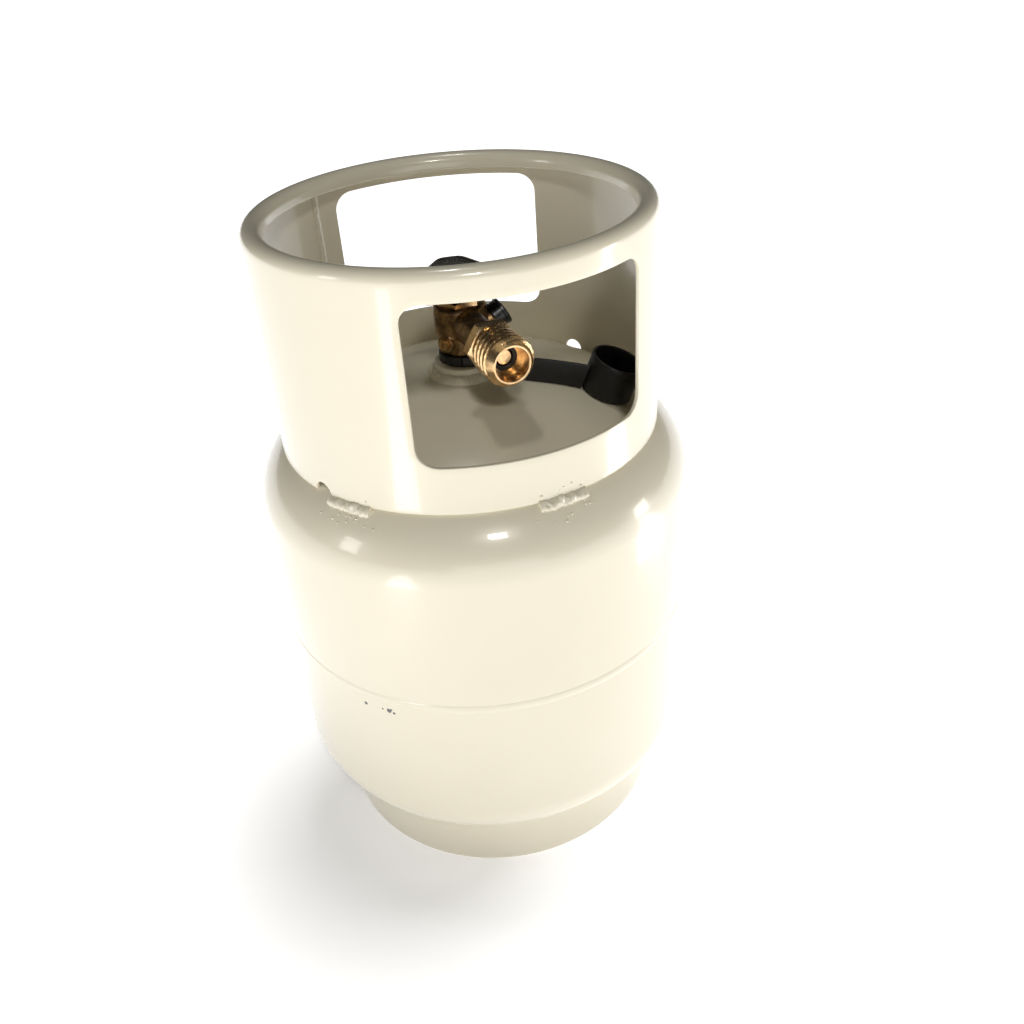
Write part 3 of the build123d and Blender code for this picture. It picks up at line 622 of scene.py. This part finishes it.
def punched_sheet():
    """The flat sheet with its windows and notches, triangulated, then rolled up."""
    stretch = collar_r * math.radians(1.0)
    columns = round(360 / sheet_column)
    rows = [i * wall_run / round(wall_run / sheet_row) for i in range(round(wall_run / sheet_row) + 1)]
    rows += [wall_run + curl_run * (i + 1) / 14 for i in range(14)]
    rows += [wall_run + curl_run + lip_run * (i + 1) / 2 for i in range(2)]
    points = []
    edges = []
    foot_line = []
    for c in range(columns + 1):
        azimuth = sheet_start + c * sheet_column
        if not in_notch(azimuth, collar_foot, 0.0012):
            foot_line.append((azimuth, 0.0))
    for centre_deg in notches:
        reach = math.degrees(notch_r / collar_r)
        for k in range(13):
            a = math.pi * k / 12
            foot_line.append((centre_deg - reach * math.cos(a), notch_r * math.sin(a)))
    foot_line.sort()
    loops = [window_edge(*w) for w in windows]
    for azimuth, run in foot_line:
        points.append((azimuth * stretch, run))
    edges += [(i, i + 1) for i in range(len(foot_line) - 1)]
    for loop in loops:
        start = len(points)
        points += [(azimuth * stretch, height - collar_foot) for azimuth, height in loop]
        edges += [(start + i, start + (i + 1) % len(loop)) for i in range(len(loop))]
    for run in rows:
        for c in range(columns + 1):
            azimuth = sheet_start + c * sheet_column
            height = collar_foot + run
            if run == 0.0 or in_window(azimuth, height, 0.0016) or in_notch(azimuth, height, 0.0016):
                continue
            points.append((azimuth * stretch, run))
    flat, _, faces, *_ = delaunay_2d_cdt([Vector(p) for p in points], edges, [], 0, 1e-7)
    builder = bmesh.new()
    corners = [builder.verts.new(collar_place(p.x / stretch, p.y)) for p in flat]
    for face in faces:
        middle = sum((flat[i] for i in face), Vector((0, 0))) / len(face)
        azimuth, height = middle.x / stretch, collar_foot + middle.y
        if in_window(azimuth, height) or in_notch(azimuth, height):
            continue
        try:
            builder.faces.new([corners[i] for i in face])
        except ValueError:
            continue
    loose = [v for v in builder.verts if not v.link_faces]
    bmesh.ops.delete(builder, geom=loose, context="VERTS")
    return builder


def baked(piece, modifiers):
    """Applies a list of (kind, settings) modifiers, leaving a plain mesh."""
    for kind, settings in modifiers:
        made = piece.modifiers.new(kind.lower(), kind)
        for key, value in settings.items():
            setattr(made, key, value)
    bpy.context.view_layer.update()
    result = bpy.data.meshes.new_from_object(piece.evaluated_get(bpy.context.evaluated_depsgraph_get()))
    piece.modifiers.clear()
    result.name = piece.name
    piece.data = result
    return piece


guard = make_piece("guard_collar", punched_sheet(), cream_paint, 180.0)
baked(guard, [("SOLIDIFY", {"thickness": collar_wall, "offset": 0.0, "use_even_offset": True}),
              ("BEVEL", {"width": 0.0007, "segments": 3, "limit_method": "ANGLE",
                         "angle_limit": math.radians(50), "harden_normals": False})])
fasten(guard, "cylinder", "cream_paint", "collar")

# ---- Collar welds ----
# Four stitch welds hold the collar to the dome, laid fast and left with spatter; a butt weld closes
# the rolled sheet, ground nearly flush outside and left proud inside.
stitch_turns = (-56.5, 3.7, 96.0, 178.0)
stitch_half = 7.0
spot_r = collar_r + 0.0013
spot_z = dome_z(collar_r + 0.0018) + 0.0016


def ring_arc(radius, height, centre_deg, half_deg, steps=24):
    turns = [math.radians(centre_deg + half_deg * (2 * i / steps - 1)) for i in range(steps + 1)]
    return [(radius * math.sin(a), -radius * math.cos(a), height) for a in turns]


arcs = [(ring_arc(spot_r, spot_z, turn, stitch_half), False) for turn in stitch_turns]
bead = weld("collar_stitches", arcs, 0.0078, 0.0022, 5.0, pitch=0.0038, depth=0.0005, uneven=0.0046,
            lean=math.radians(-35), taper=0.85)
fasten(bead, "cylinder", "cream_paint", "collar_welds")

seam_turn = -152.0
seam_top = 0.4735
seam_foot = collar_foot + notch_r
seam_route = [(collar_r - collar_wall, 0.0, seam_foot + (seam_top - seam_foot) * i / 40)
              for i in range(41)]
seam_out = [(collar_r - 0.0002, 0.0, p[2]) for p in seam_route]
bead = weld("collar_seam", [(seam_route, False), (seam_out, False)], 0.0050, 0.0011, 6.0, pitch=0.0024,
            depth=0.0003,
            uneven=0.0016, taper=0.3)
bead.data.transform(Matrix.Rotation(math.radians(seam_turn - 90), 4, "Z"))
fasten(bead, "cylinder", "cream_paint", "collar_seam_weld")


def spatter_tree():
    """Small flattened drops scattered over a patch."""
    made, given = new_tree("spatter", "Drops", "Patch", Density=30000.0, Drop_Radius=0.0008, Seed=4)
    spread = add_node(made, "GeometryNodeDistributePointsOnFaces", {"distribute_method": "RANDOM"},
                      {"Mesh": given["Patch"], "Density": given["Density"], "Seed": given["Seed"]})
    drop = geometry(made, "MeshIcoSphere", {"Radius": given["Drop Radius"], "Subdivisions": 2})
    size = add_node(made, "FunctionNodeRandomValue", {"data_type": "FLOAT"})
    size.inputs[2].default_value = 0.35
    size.inputs[3].default_value = 1.15
    made.links.new(given["Seed"], size.inputs["Seed"])
    placed = add_node(made, "GeometryNodeInstanceOnPoints", None,
                      {"Points": spread.outputs["Points"], "Instance": drop,
                       "Rotation": spread.outputs["Rotation"], "Scale": size.outputs[1]})
    real = geometry(made, "RealizeInstances", {"Geometry": placed.outputs[0]})
    return close_tree(made, geometry(made, "SetShadeSmooth", {"Geometry": real}), given)


def patch_mesh(patches):
    """Small four-cornered patches, each given as rows of points."""
    points = []
    faces = []
    for rows in patches:
        start = len(points)
        wide = len(rows[0])
        points += [p for row in rows for p in row]
        for r in range(len(rows) - 1):
            for c in range(wide - 1):
                a = start + r * wide + c
                faces.append((a, a + 1, a + 1 + wide, a + wide))
    mesh = bpy.data.meshes.new("patch")
    mesh.from_pydata(points, [], faces)
    return mesh


patches = []
for turn in stitch_turns:
    patches.append([ring_arc(collar_r + out, dome_z(collar_r + out), turn, stitch_half + 2, 6)
                    for out in (0.002, 0.006, 0.010)])
    patches.append([ring_arc(collar_r, collar_foot + up, turn, stitch_half + 1, 6) for up in (0.008, 0.003)])
patches.append([ring_arc(collar_r - collar_wall, up, seam_turn + 4, 5, 6) for up in (0.462, 0.470)])
drops = grown("weld_spatter", patch_mesh(patches), spatter_tree(),
              {"Density": 26000.0, "Drop Radius": 0.0008, "Seed": 4, "Paint": cream_paint})
fasten(drops, "cylinder", "cream_paint")

# ---- Valve body ----
# A hot-forged brass body, left with its dull scaled skin, with wrench flats, a barrel, the outlet's neck
# and two bosses. Only its bores are machined. Its brass is far darker than the turned parts: partly its dull
# skin, partly painted shade.
forging_cell = 0.00042
outlet_low, outlet_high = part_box("outlet_connector")
outlet_z = (outlet_low.z + outlet_high.z) / 2
outlet_frame = Matrix(((1, 0, 0, 0), (0, 0, -1, 0), (0, 1, 0, outlet_z), (0, 0, 0, 1)))


def brass(name, bright, dark, rough_low, rough_high, grain, depth, stain):
    """Brass with darker oxide in broad stains and a fine grain."""
    made, tree, shader = new_material(name)
    place = add_node(tree, "ShaderNodeTexCoord").outputs["Object"]
    cover = ramp(tree, noise(tree, place, 130.0, 5.0, 0.65), 0.52 - stain, 0.62)
    fine = noise(tree, place, grain, 4.0, 0.6)
    tone = blend_colours(tree, cover, dark, bright)
    tone = blend_colours(tree, ramp(tree, fine, 0.30, 0.48), dark, tone)
    link(tree, tone, shader.inputs["Base Color"])
    link(tree, ramp(tree, fine, 0.3, 0.7, rough_high, rough_low), shader.inputs["Roughness"])
    shader.inputs["Metallic"].default_value = 1.0
    bump = add_node(tree, "ShaderNodeBump", None, {"Strength": 0.6, "Distance": depth, "Height": fine})
    link(tree, bump.outputs["Normal"], shader.inputs["Normal"])
    return made


# Its colours are set far darker than the turned brass: partly the forging's dull skin, partly painted shade.
forged_brass_and_painted_shade = brass("forged_brass_and_painted_shade", (0.42, 0.27, 0.125), (0.14, 0.085, 0.045), 0.26, 0.46, 700.0,
                     0.00010, 0.14)
turned_brass = brass("turned_brass", (0.93, 0.68, 0.38), (0.60, 0.37, 0.17), 0.16, 0.30, 1500.0,
                     0.00002, 0.20)


def node_copy(node):
    """A CAD node's mesh with its loose triangles merged."""
    builder = bmesh.new()
    builder.from_mesh(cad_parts[node].data)
    bmesh.ops.remove_doubles(builder, verts=builder.verts, dist=1e-6)
    return builder


forging = make_piece("valve_forging", node_copy("valve_body"), forged_brass_and_painted_shade)
baked(forging, [("REMESH", {"mode": "VOXEL", "voxel_size": forging_cell, "use_smooth_shade": True}),
                ("SMOOTH", {"factor": 0.5, "iterations": 5})])
forging.data.materials.clear()
forging.data.materials.append(forged_brass_and_painted_shade)
fasten(forging, "cylinder", "brass", "valve_body")

# ---- Outlet connector ----
# A bright turned brass end, screwed into the body and tightened by its hexagon: a coarse trapezoidal
# outside thread with a long nose chamfer, and a smooth bore for the mating nose.
hex_near = 0.0499
hex_far = 0.0589
hex_across = 0.03175
thread_start = 0.0620
thread_pitch = 0.00508
thread_root = 0.0146
nose_r = 0.0126
nose_chamfer = 0.0042
bore_r = 0.0111
bore_depth = 0.0118
pocket_r = 0.0104
pocket_depth = 0.0062
check_bore = 0.0078
check_back = 0.04905
passage_r = 0.005
spigot_r = 0.0094
outlet_face = -outlet_low.y
crest_r = 0.01667
thread_end = outlet_face - nose_chamfer


def acme_form(share):
    """Height of a trapezoidal thread, 0 at the root and 1 at the crest, over one pitch."""
    share %= 1.0
    slope = 0.16
    flat = 0.5 - slope
    if share < flat:
        return 1.0
    if share < flat + slope:
        return 1.0 - (share - flat) / slope
    if share < 2 * flat + slope:
        return 0.0
    return (share - 2 * flat - slope) / slope


def connector_rule(radius, along, angle):
    if radius < bore_r + 0.0003:
        return radius
    if along < hex_far + 0.0001:
        return min(radius, hex_across / 2 / math.cos(angle % (math.pi / 3) - math.pi / 6))
    if along > thread_start - 0.0002:
        start = min(1.0, max(0.0, (along - thread_start) / (thread_pitch * 0.35)))
        tall = acme_form(along / thread_pitch - angle / math.tau) * start
        return min(radius, thread_root + (crest_r - thread_root) * tall)
    return radius


hex_corner = hex_across / 2 / math.cos(math.pi / 6)
hex_face = hex_across / 2 - 0.0006
hex_bevel = hex_corner - hex_across / 2 + 0.0008
bevel_steps = (0.25, 0.5, 0.75, 1.0)
outer = [(spigot_r, hex_near - 0.012), (spigot_r, hex_near), (hex_face, hex_near)]
outer += [(hex_face + hex_bevel * t, hex_near + 0.0013 * t) for t in bevel_steps]
outer += [(hex_face + hex_bevel * t, hex_far - 0.0013 * t) for t in reversed(bevel_steps)]
outer += [(hex_face, hex_far), (thread_root - 0.0004, hex_far + 0.0003),
          (thread_root - 0.0004, thread_start - 0.0004), (thread_root, thread_start - 0.0002)]
thread_rows = 104
outer += [(crest_r, thread_start + (thread_end - thread_start) * i / thread_rows)
          for i in range(1, thread_rows + 1)]
nose_rows = 22
outer += [(crest_r + (nose_r + 0.0003 - crest_r) * i / nose_rows,
           thread_end + (nose_chamfer - 0.0003) * i / nose_rows) for i in range(1, nose_rows + 1)]
outer += [(nose_r, outlet_face), (bore_r + 0.0004, outlet_face), (bore_r, outlet_face - 0.0005),
          (bore_r, outlet_face - bore_depth), (pocket_r, outlet_face - bore_depth),
          (pocket_r, outlet_face - bore_depth - pocket_depth),
          (check_bore, outlet_face - bore_depth - pocket_depth), (check_bore, check_back),
          (passage_r, check_back), (passage_r, hex_near - 0.012)]
connector = make_piece("outlet_end", turned(outer, 180, connector_rule), turned_brass, 24.0, outlet_frame)
fasten(connector, "cylinder", "brass", "outlet_connector")

# ---- Rubber, plastic and plated finishes; the small parts inside the outlet ----
# The seal and the sprung check sit down the bore behind a brass retaining ring. The thread is bright,
# and the seal is a plain moulded rubber ring.


def moulded(name, colour, worn, rough, grain, depth, coat=0.0):
    """Moulded rubber or plastic: even colour, paler scuffs and a fine matt texture."""
    made, tree, shader = new_material(name)
    place = add_node(tree, "ShaderNodeTexCoord").outputs["Object"]
    scuff = ramp(tree, noise(tree, place, 220.0, 5.0, 0.7), 0.52, 0.72)
    link(tree, blend_colours(tree, scuff, colour, worn), shader.inputs["Base Color"])
    fine = noise(tree, place, grain, 3.0, 0.6)
    link(tree, ramp(tree, fine, 0.3, 0.7, rough - 0.08, rough + 0.10), shader.inputs["Roughness"])
    shader.inputs["Coat Weight"].default_value = coat
    shader.inputs["Coat Roughness"].default_value = 0.25
    bump = add_node(tree, "ShaderNodeBump", None, {"Strength": 0.5, "Distance": depth, "Height": fine})
    link(tree, bump.outputs["Normal"], shader.inputs["Normal"])
    return made


def plated(name, colour, rough):
    """Zinc-plated steel with a faint brushed grain."""
    made, tree, shader = new_material(name)
    place = add_node(tree, "ShaderNodeTexCoord").outputs["Object"]
    grain = add_node(tree, "ShaderNodeMapping", None, {"Vector": place, "Scale": (1.0, 1.0, 12.0)}).outputs[0]
    streak = noise(tree, grain, 500.0, 3.0, 0.6)
    shade = tuple(c * 0.72 for c in colour)
    link(tree, blend_colours(tree, streak, colour, shade), shader.inputs["Base Color"])
    link(tree, ramp(tree, streak, 0.3, 0.7, rough - 0.06, rough + 0.08), shader.inputs["Roughness"])
    shader.inputs["Metallic"].default_value = 1.0
    return made


black_plastic = moulded("black_wheel_plastic", (0.014, 0.015, 0.015), (0.040, 0.042, 0.041), 0.34,
                        1400.0, 0.00003, 0.2)
black_rubber = moulded("black_moulded_rubber", (0.0045, 0.0045, 0.005), (0.012, 0.012, 0.012), 0.46,
                       1100.0, 0.00004)
grey_acetal = moulded("grey_acetal", (0.30, 0.30, 0.31), (0.38, 0.38, 0.38), 0.40, 900.0, 0.00002)
zinc_steel = plated("zinc_plated_steel", (0.62, 0.63, 0.64), 0.30)

kept_nodes = {
    turned_brass: ("outlet_retainer", "outlet_check_poppet", "valve_stem", "seat_piston", "relief_housing",
                   "relief_poppet", "relief_retainer", "vent_screw", "level_gauge_tube"),
    black_rubber: ("outlet_seal", "stem_packing", "seat_disc"),
    zinc_steel: ("outlet_check_spring", "relief_spring", "handwheel_washer", "handwheel_screw",
                 "float_pivot_pin"),
    grey_acetal: ("stop_fill_housing", "stop_fill_piston", "float_arm", "float"),
}
for finish, names in kept_nodes.items():
    for node_name in names:
        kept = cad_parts[node_name]
        if kept.material_slots:
            for kept_slot in kept.material_slots:
                kept_slot.material = finish
        else:
            kept.data.materials.append(finish)

# ---- Gland nut ----
# A brass hexagon that closes the barrel and guides the stem, chamfered on top.
gland_low, gland_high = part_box("valve_bonnet")
gland_across = 0.027
gland_height = 0.0046
gland_base = gland_high.z - gland_height
gland_corner = gland_across / 2 / math.cos(math.pi / 6)
stem_hole = 0.00405
gland_outline = [(stem_hole, gland_low.z), (0.0100, gland_low.z), (0.0100, gland_base),
                 (gland_across / 2 - 0.0002, gland_base)]
gland_outline += [(gland_corner, gland_base + 0.0004), (gland_corner, gland_high.z - 0.0014)]
gland_outline += [(gland_corner - 0.0024 * t, gland_high.z - 0.0014 + 0.0014 * t) for t in bevel_steps]
gland_outline += [(stem_hole + 0.0008, gland_high.z), (stem_hole, gland_high.z - 0.0008)]


def gland_rule(radius, height, angle):
    flat = gland_across / 2 / math.cos(angle % (math.pi / 3) - math.pi / 6)
    return min(radius, flat) if radius > 0.0101 else radius


gland = make_piece("gland_nut", turned(gland_outline, 180, gland_rule), turned_brass, 24.0)
fasten(gland, "cylinder", "brass", "valve_bonnet")

# ---- Handwheel ----
# A black moulded wheel with three cut-back corners, a ribbed grip round its skirt, a ring of raised
# dots on top and a raised centre, held on the stem's square by a screw and washer.
wheel_low, wheel_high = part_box("handwheel")
wheel_turn = 167.0
wheel_flat = 0.0239
wheel_corner = 0.0335
wheel_skirt = 0.003
wheel_web = 0.004
wheel_hub = 0.009
grip_ribs = 84
grip_depth = 0.00045
grip_inset = 0.0005
screw_seat = 0.0044


def wheel_edge(angle):
    """Distance from the stem to the wheel's outline in one direction."""
    blunt = 16
    total = 0.0
    for k in range(3):
        for flat_at, distance in ((0, wheel_corner), (math.pi / 3, wheel_flat)):
            facing = math.cos(angle - math.radians(wheel_turn - 90) - flat_at - k * math.tau / 3)
            if facing > 0:
                total += (facing / distance) ** blunt
    return total ** (-1 / blunt)


def wheel_rule(radius, height, angle):
    """Circular at the hub, and the wheel's own outline from the skirt outwards."""
    inner = wheel_corner - wheel_skirt
    share = min(1.0, max(0.0, (radius - wheel_hub) / (inner - wheel_hub)))
    rim = wheel_edge(angle) - (wheel_corner - radius)
    if radius > wheel_corner - grip_inset * 0.9:
        middle = (height - wheel_low.z) / (wheel_high.z - wheel_low.z)
        wave = max(0.0, math.sin(grip_ribs * angle)) ** 0.5
        rim -= grip_depth * (1 - wave) * min(1.0, 5 * middle, 5 * max(0.0, 0.86 - middle))
    return radius * (1 - share) + rim * share


top = wheel_high.z
edge_round = 0.0018
wheel_outline = [(0.0042, wheel_low.z), (wheel_hub - 0.0004, wheel_low.z), (wheel_hub, wheel_low.z + 0.0004),
                 (wheel_hub, top - wheel_web - 0.0006), (wheel_hub + 0.0006, top - wheel_web)]
wheel_outline += [(wheel_hub + (wheel_corner - wheel_skirt - wheel_hub) * t, top - wheel_web)
                  for t in (0.3, 0.6, 0.95)]
wheel_outline += [(wheel_corner - wheel_skirt, top - wheel_web - 0.0006),
                  (wheel_corner - wheel_skirt, wheel_low.z),
                  (wheel_corner - 0.0005, wheel_low.z)]
wheel_outline += [(wheel_corner, wheel_low.z + 0.0005 + (top - edge_round - wheel_low.z - 0.0005) * i / 14)
                  for i in range(15)]
wheel_outline += arc_points((wheel_corner - edge_round, top - edge_round), edge_round, 15, 75, 5)
wheel_outline += [(wheel_corner - 0.0042, top), (wheel_corner - 0.0047, top - 0.0006),
                  (wheel_corner - 0.0120, top - 0.0008), (0.0130, top - 0.0008), (0.0122, top - 0.0002),
                  (0.0116, top), (screw_seat + 0.0005, top), (screw_seat, top - 0.0004),
                  (screw_seat, top - 0.0026),
                  (0.0021, top - 0.0026), (0.0021, top - 0.0050), (0.0041, top - 0.0050)]
wheel = make_piece("three_cornered_wheel", turned(wheel_outline, grip_ribs * 8, wheel_rule), black_plastic,
                   32.0)
fasten(wheel, "stem", "black_plastic", "handwheel")


def dots_tree():
    """Low round dots set at even steps along a closed path."""
    made, given = new_tree("grip_dots", "Dots", "Path", Spacing=0.004, Dot_Radius=0.001, Flatness=0.5)
    curve = geometry(made, "MeshToCurve", {"Mesh": given["Path"]})
    points = geometry(made, "CurveToPoints", {"Curve": curve, "Length": given["Spacing"]}, {"mode": "LENGTH"})
    ball = geometry(made, "MeshIcoSphere", {"Radius": given["Dot Radius"], "Subdivisions": 3})
    squash = add_node(made, "ShaderNodeCombineXYZ", None,
                      {"X": 1.0, "Y": 1.0, "Z": given["Flatness"]}).outputs[0]
    flat = geometry(made, "Transform", {"Geometry": ball, "Scale": squash})
    placed = geometry(made, "InstanceOnPoints", {"Points": points, "Instance": flat})
    real = geometry(made, "RealizeInstances", {"Geometry": placed})
    smooth = geometry(made, "SetShadeSmooth", {"Geometry": real})
    return close_tree(made, smooth, given)


dot_inset = 0.0080
dot_route = []
for i in range(240):
    a = math.tau * i / 240
    r = wheel_edge(a) - dot_inset
    dot_route.append((r * math.cos(a), r * math.sin(a), top - 0.0009))
dots = grown("wheel_dots", path_mesh([(dot_route, True)]), dots_tree(),
             {"Spacing": 0.0034, "Dot Radius": 0.0010, "Flatness": 0.7, "Paint": black_plastic})
fasten(dots, "stem", "black_plastic")

# ---- Relief valve cover ----
# A black moulded dust cover pushed over the brass relief valve, tilted up beside the outlet's neck,
# with a recessed face and a round groove in it, and a low ring round its rim.
relief_tilt = math.radians(28.0)
relief_z = 0.3866
cover_r = 0.0100
cover_near = 0.0264
cover_far = 0.0362
relief_bore = 0.0076
relief_end = 0.0330
relief_frame = Matrix(((0, -math.sin(relief_tilt), math.cos(relief_tilt), 0), (1, 0, 0, 0),
                       (0, math.cos(relief_tilt), math.sin(relief_tilt), relief_z), (0, 0, 0, 1)))
cover_outline = [(relief_bore, cover_near), (cover_r - 0.0006, cover_near), (cover_r, cover_near + 0.0006)]
cover_outline += [(cover_r, cover_near + 0.0030), (cover_r - 0.0005, cover_near + 0.0034),
                  (cover_r - 0.0005, cover_far - 0.0030), (cover_r, cover_far - 0.0026)]
cover_outline += arc_points((cover_r - 0.0009, cover_far - 0.0009), 0.0009, 0, 90, 4)
cover_outline += [(cover_r - 0.0020, cover_far), (cover_r - 0.0024, cover_far - 0.0008),
                  (0.0060, cover_far - 0.0008),
                  (0.0054, cover_far - 0.0020), (0.0032, cover_far - 0.0020), (0.0026, cover_far - 0.0008),
                  (0.0, cover_far - 0.0006), (0.0, relief_end), (relief_bore, relief_end)]
cover = make_piece("relief_dust_cover", turned(cover_outline, 96), black_plastic, 30.0, relief_frame)
fasten(cover, "cylinder", "black_plastic", "relief_cover")

# ---- Dust cap and its tether ----
# A black rubber cup that plugs the outlet's thread, lying mouth up on the dome, moulded with a flat
# tether that stands on edge and ends in a loop round the valve's neck.
tether_turn = 63.5
cap_along = 0.0970
cap_aside = 0.0095
cap_inner = 0.0168
cap_wall = 0.0019
cap_outer = cap_inner + cap_wall
cap_tall = 0.0255
cap_floor = 0.0030
cap_gap = 0.0004
strap_thick = 0.0022
loop_low = 0.3754
loop_high = 0.3822
loop_inner = 0.0150
strap_tall = 0.0170

cap_distance = math.hypot(cap_along, cap_aside)
cap_bearing = math.radians(tether_turn) - math.atan2(cap_aside, cap_along)
cap_slope = math.atan(head_depth * cap_distance / body_r ** 2 / math.sqrt(1 - (cap_distance / body_r) ** 2))
cap_frame = (Matrix.Rotation(cap_bearing, 4, "Z")
             @ Matrix.Translation((0, -cap_distance, dome_z(cap_distance)))
             @ Matrix.Rotation(cap_slope, 4, "X"))
low, high = cap_gap, cap_gap + cap_tall
cap_outline = [(0.0, low + 0.0006), (cap_outer - 0.0060, low + 0.0006), (cap_outer - 0.0054, low)]
cap_outline += arc_points((cap_outer - 0.0013, low + 0.0010), 0.0010, -90, 90, 4)
cap_outline += [(cap_outer - 0.0003, high - 0.0042), (cap_outer, high - 0.0038)]
cap_outline += arc_points((cap_outer - 0.0008, high - 0.0008), 0.0008, 0, 90, 4)
cap_outline += arc_points((cap_inner + 0.0006, high - 0.0006), 0.0006, 90, 90, 4)
cap_outline += [(cap_inner, low + cap_floor + 0.0060), (cap_inner - 0.0004, low + cap_floor + 0.0056),
                (cap_inner - 0.0004, low + cap_floor + 0.0012), (cap_inner - 0.0014, low + cap_floor),
                (0.0040, low + cap_floor), (0.0034, low + cap_floor + 0.0008),
                (0.0, low + cap_floor + 0.0008)]
cup = make_piece("dust_cup", turned(cap_outline, 128, closed=False), black_rubber, 34.0, cap_frame)
fasten(cup, "tether", "black_rubber", "dust_cap")

strap_steps = 60
strap_stop = cap_along - cap_inner - 0.0002
drop_end = 0.034
drop_length = 0.012
rise_start = 0.008
strap_line = loop_inner + strap_thick / 2


def clamp01(value):
    return min(1.0, max(0.0, value))


def strap_edges(out):
    """The band's lower and upper edge heights at a distance out along it."""
    bottom = dome_z(math.hypot(out, strap_line + strap_thick)) + cap_gap
    lift = max(0.0, spud_high.z + cap_gap - bottom) * clamp01((drop_end - out) / drop_length)
    rise = loop_high - loop_low
    tall = rise + (strap_tall - rise) * clamp01((out - rise_start) / drop_end)
    return bottom + lift, bottom + lift + tall


def tether_mesh():
    """The band as a swept round-edged strip, and the loop as a turned ring."""
    loop = soften([(loop_inner, loop_low), (loop_inner + strap_thick, loop_low),
                   (loop_inner + strap_thick, loop_high), (loop_inner, loop_high)], 0.0007)
    builder = turned(loop, 96)
    rows = []
    for i in range(strap_steps + 1):
        out = strap_stop * i / strap_steps
        bottom, above = strap_edges(out)
        half = strap_thick / 2
        outline = soften([(-half, bottom), (half, bottom), (half, above), (-half, above)], 0.0007)
        sway = 0.0006 * math.sin(math.pi * out / strap_stop) * math.sin(2.4 * math.pi * out / strap_stop)
        slant = math.tan(cap_slope) * (out / strap_stop) ** 4
        rows.append([builder.verts.new((-strap_line + x + sway, -out - slant * (z - bottom), z))
                     for x, z in outline])
    for first, last in zip(rows, rows[1:]):
        for i in range(len(first)):
            j = (i + 1) % len(first)
            builder.faces.new((first[i], first[j], last[j], last[i]))
    builder.faces.new(rows[0])
    builder.faces.new(reversed(rows[-1]))
    return builder


tether = make_piece("cap_tether", tether_mesh(), black_rubber, 34.0,
                    Matrix.Rotation(math.radians(tether_turn), 4, "Z"))
fasten(tether, "tether", "black_rubber", "cap_strap")
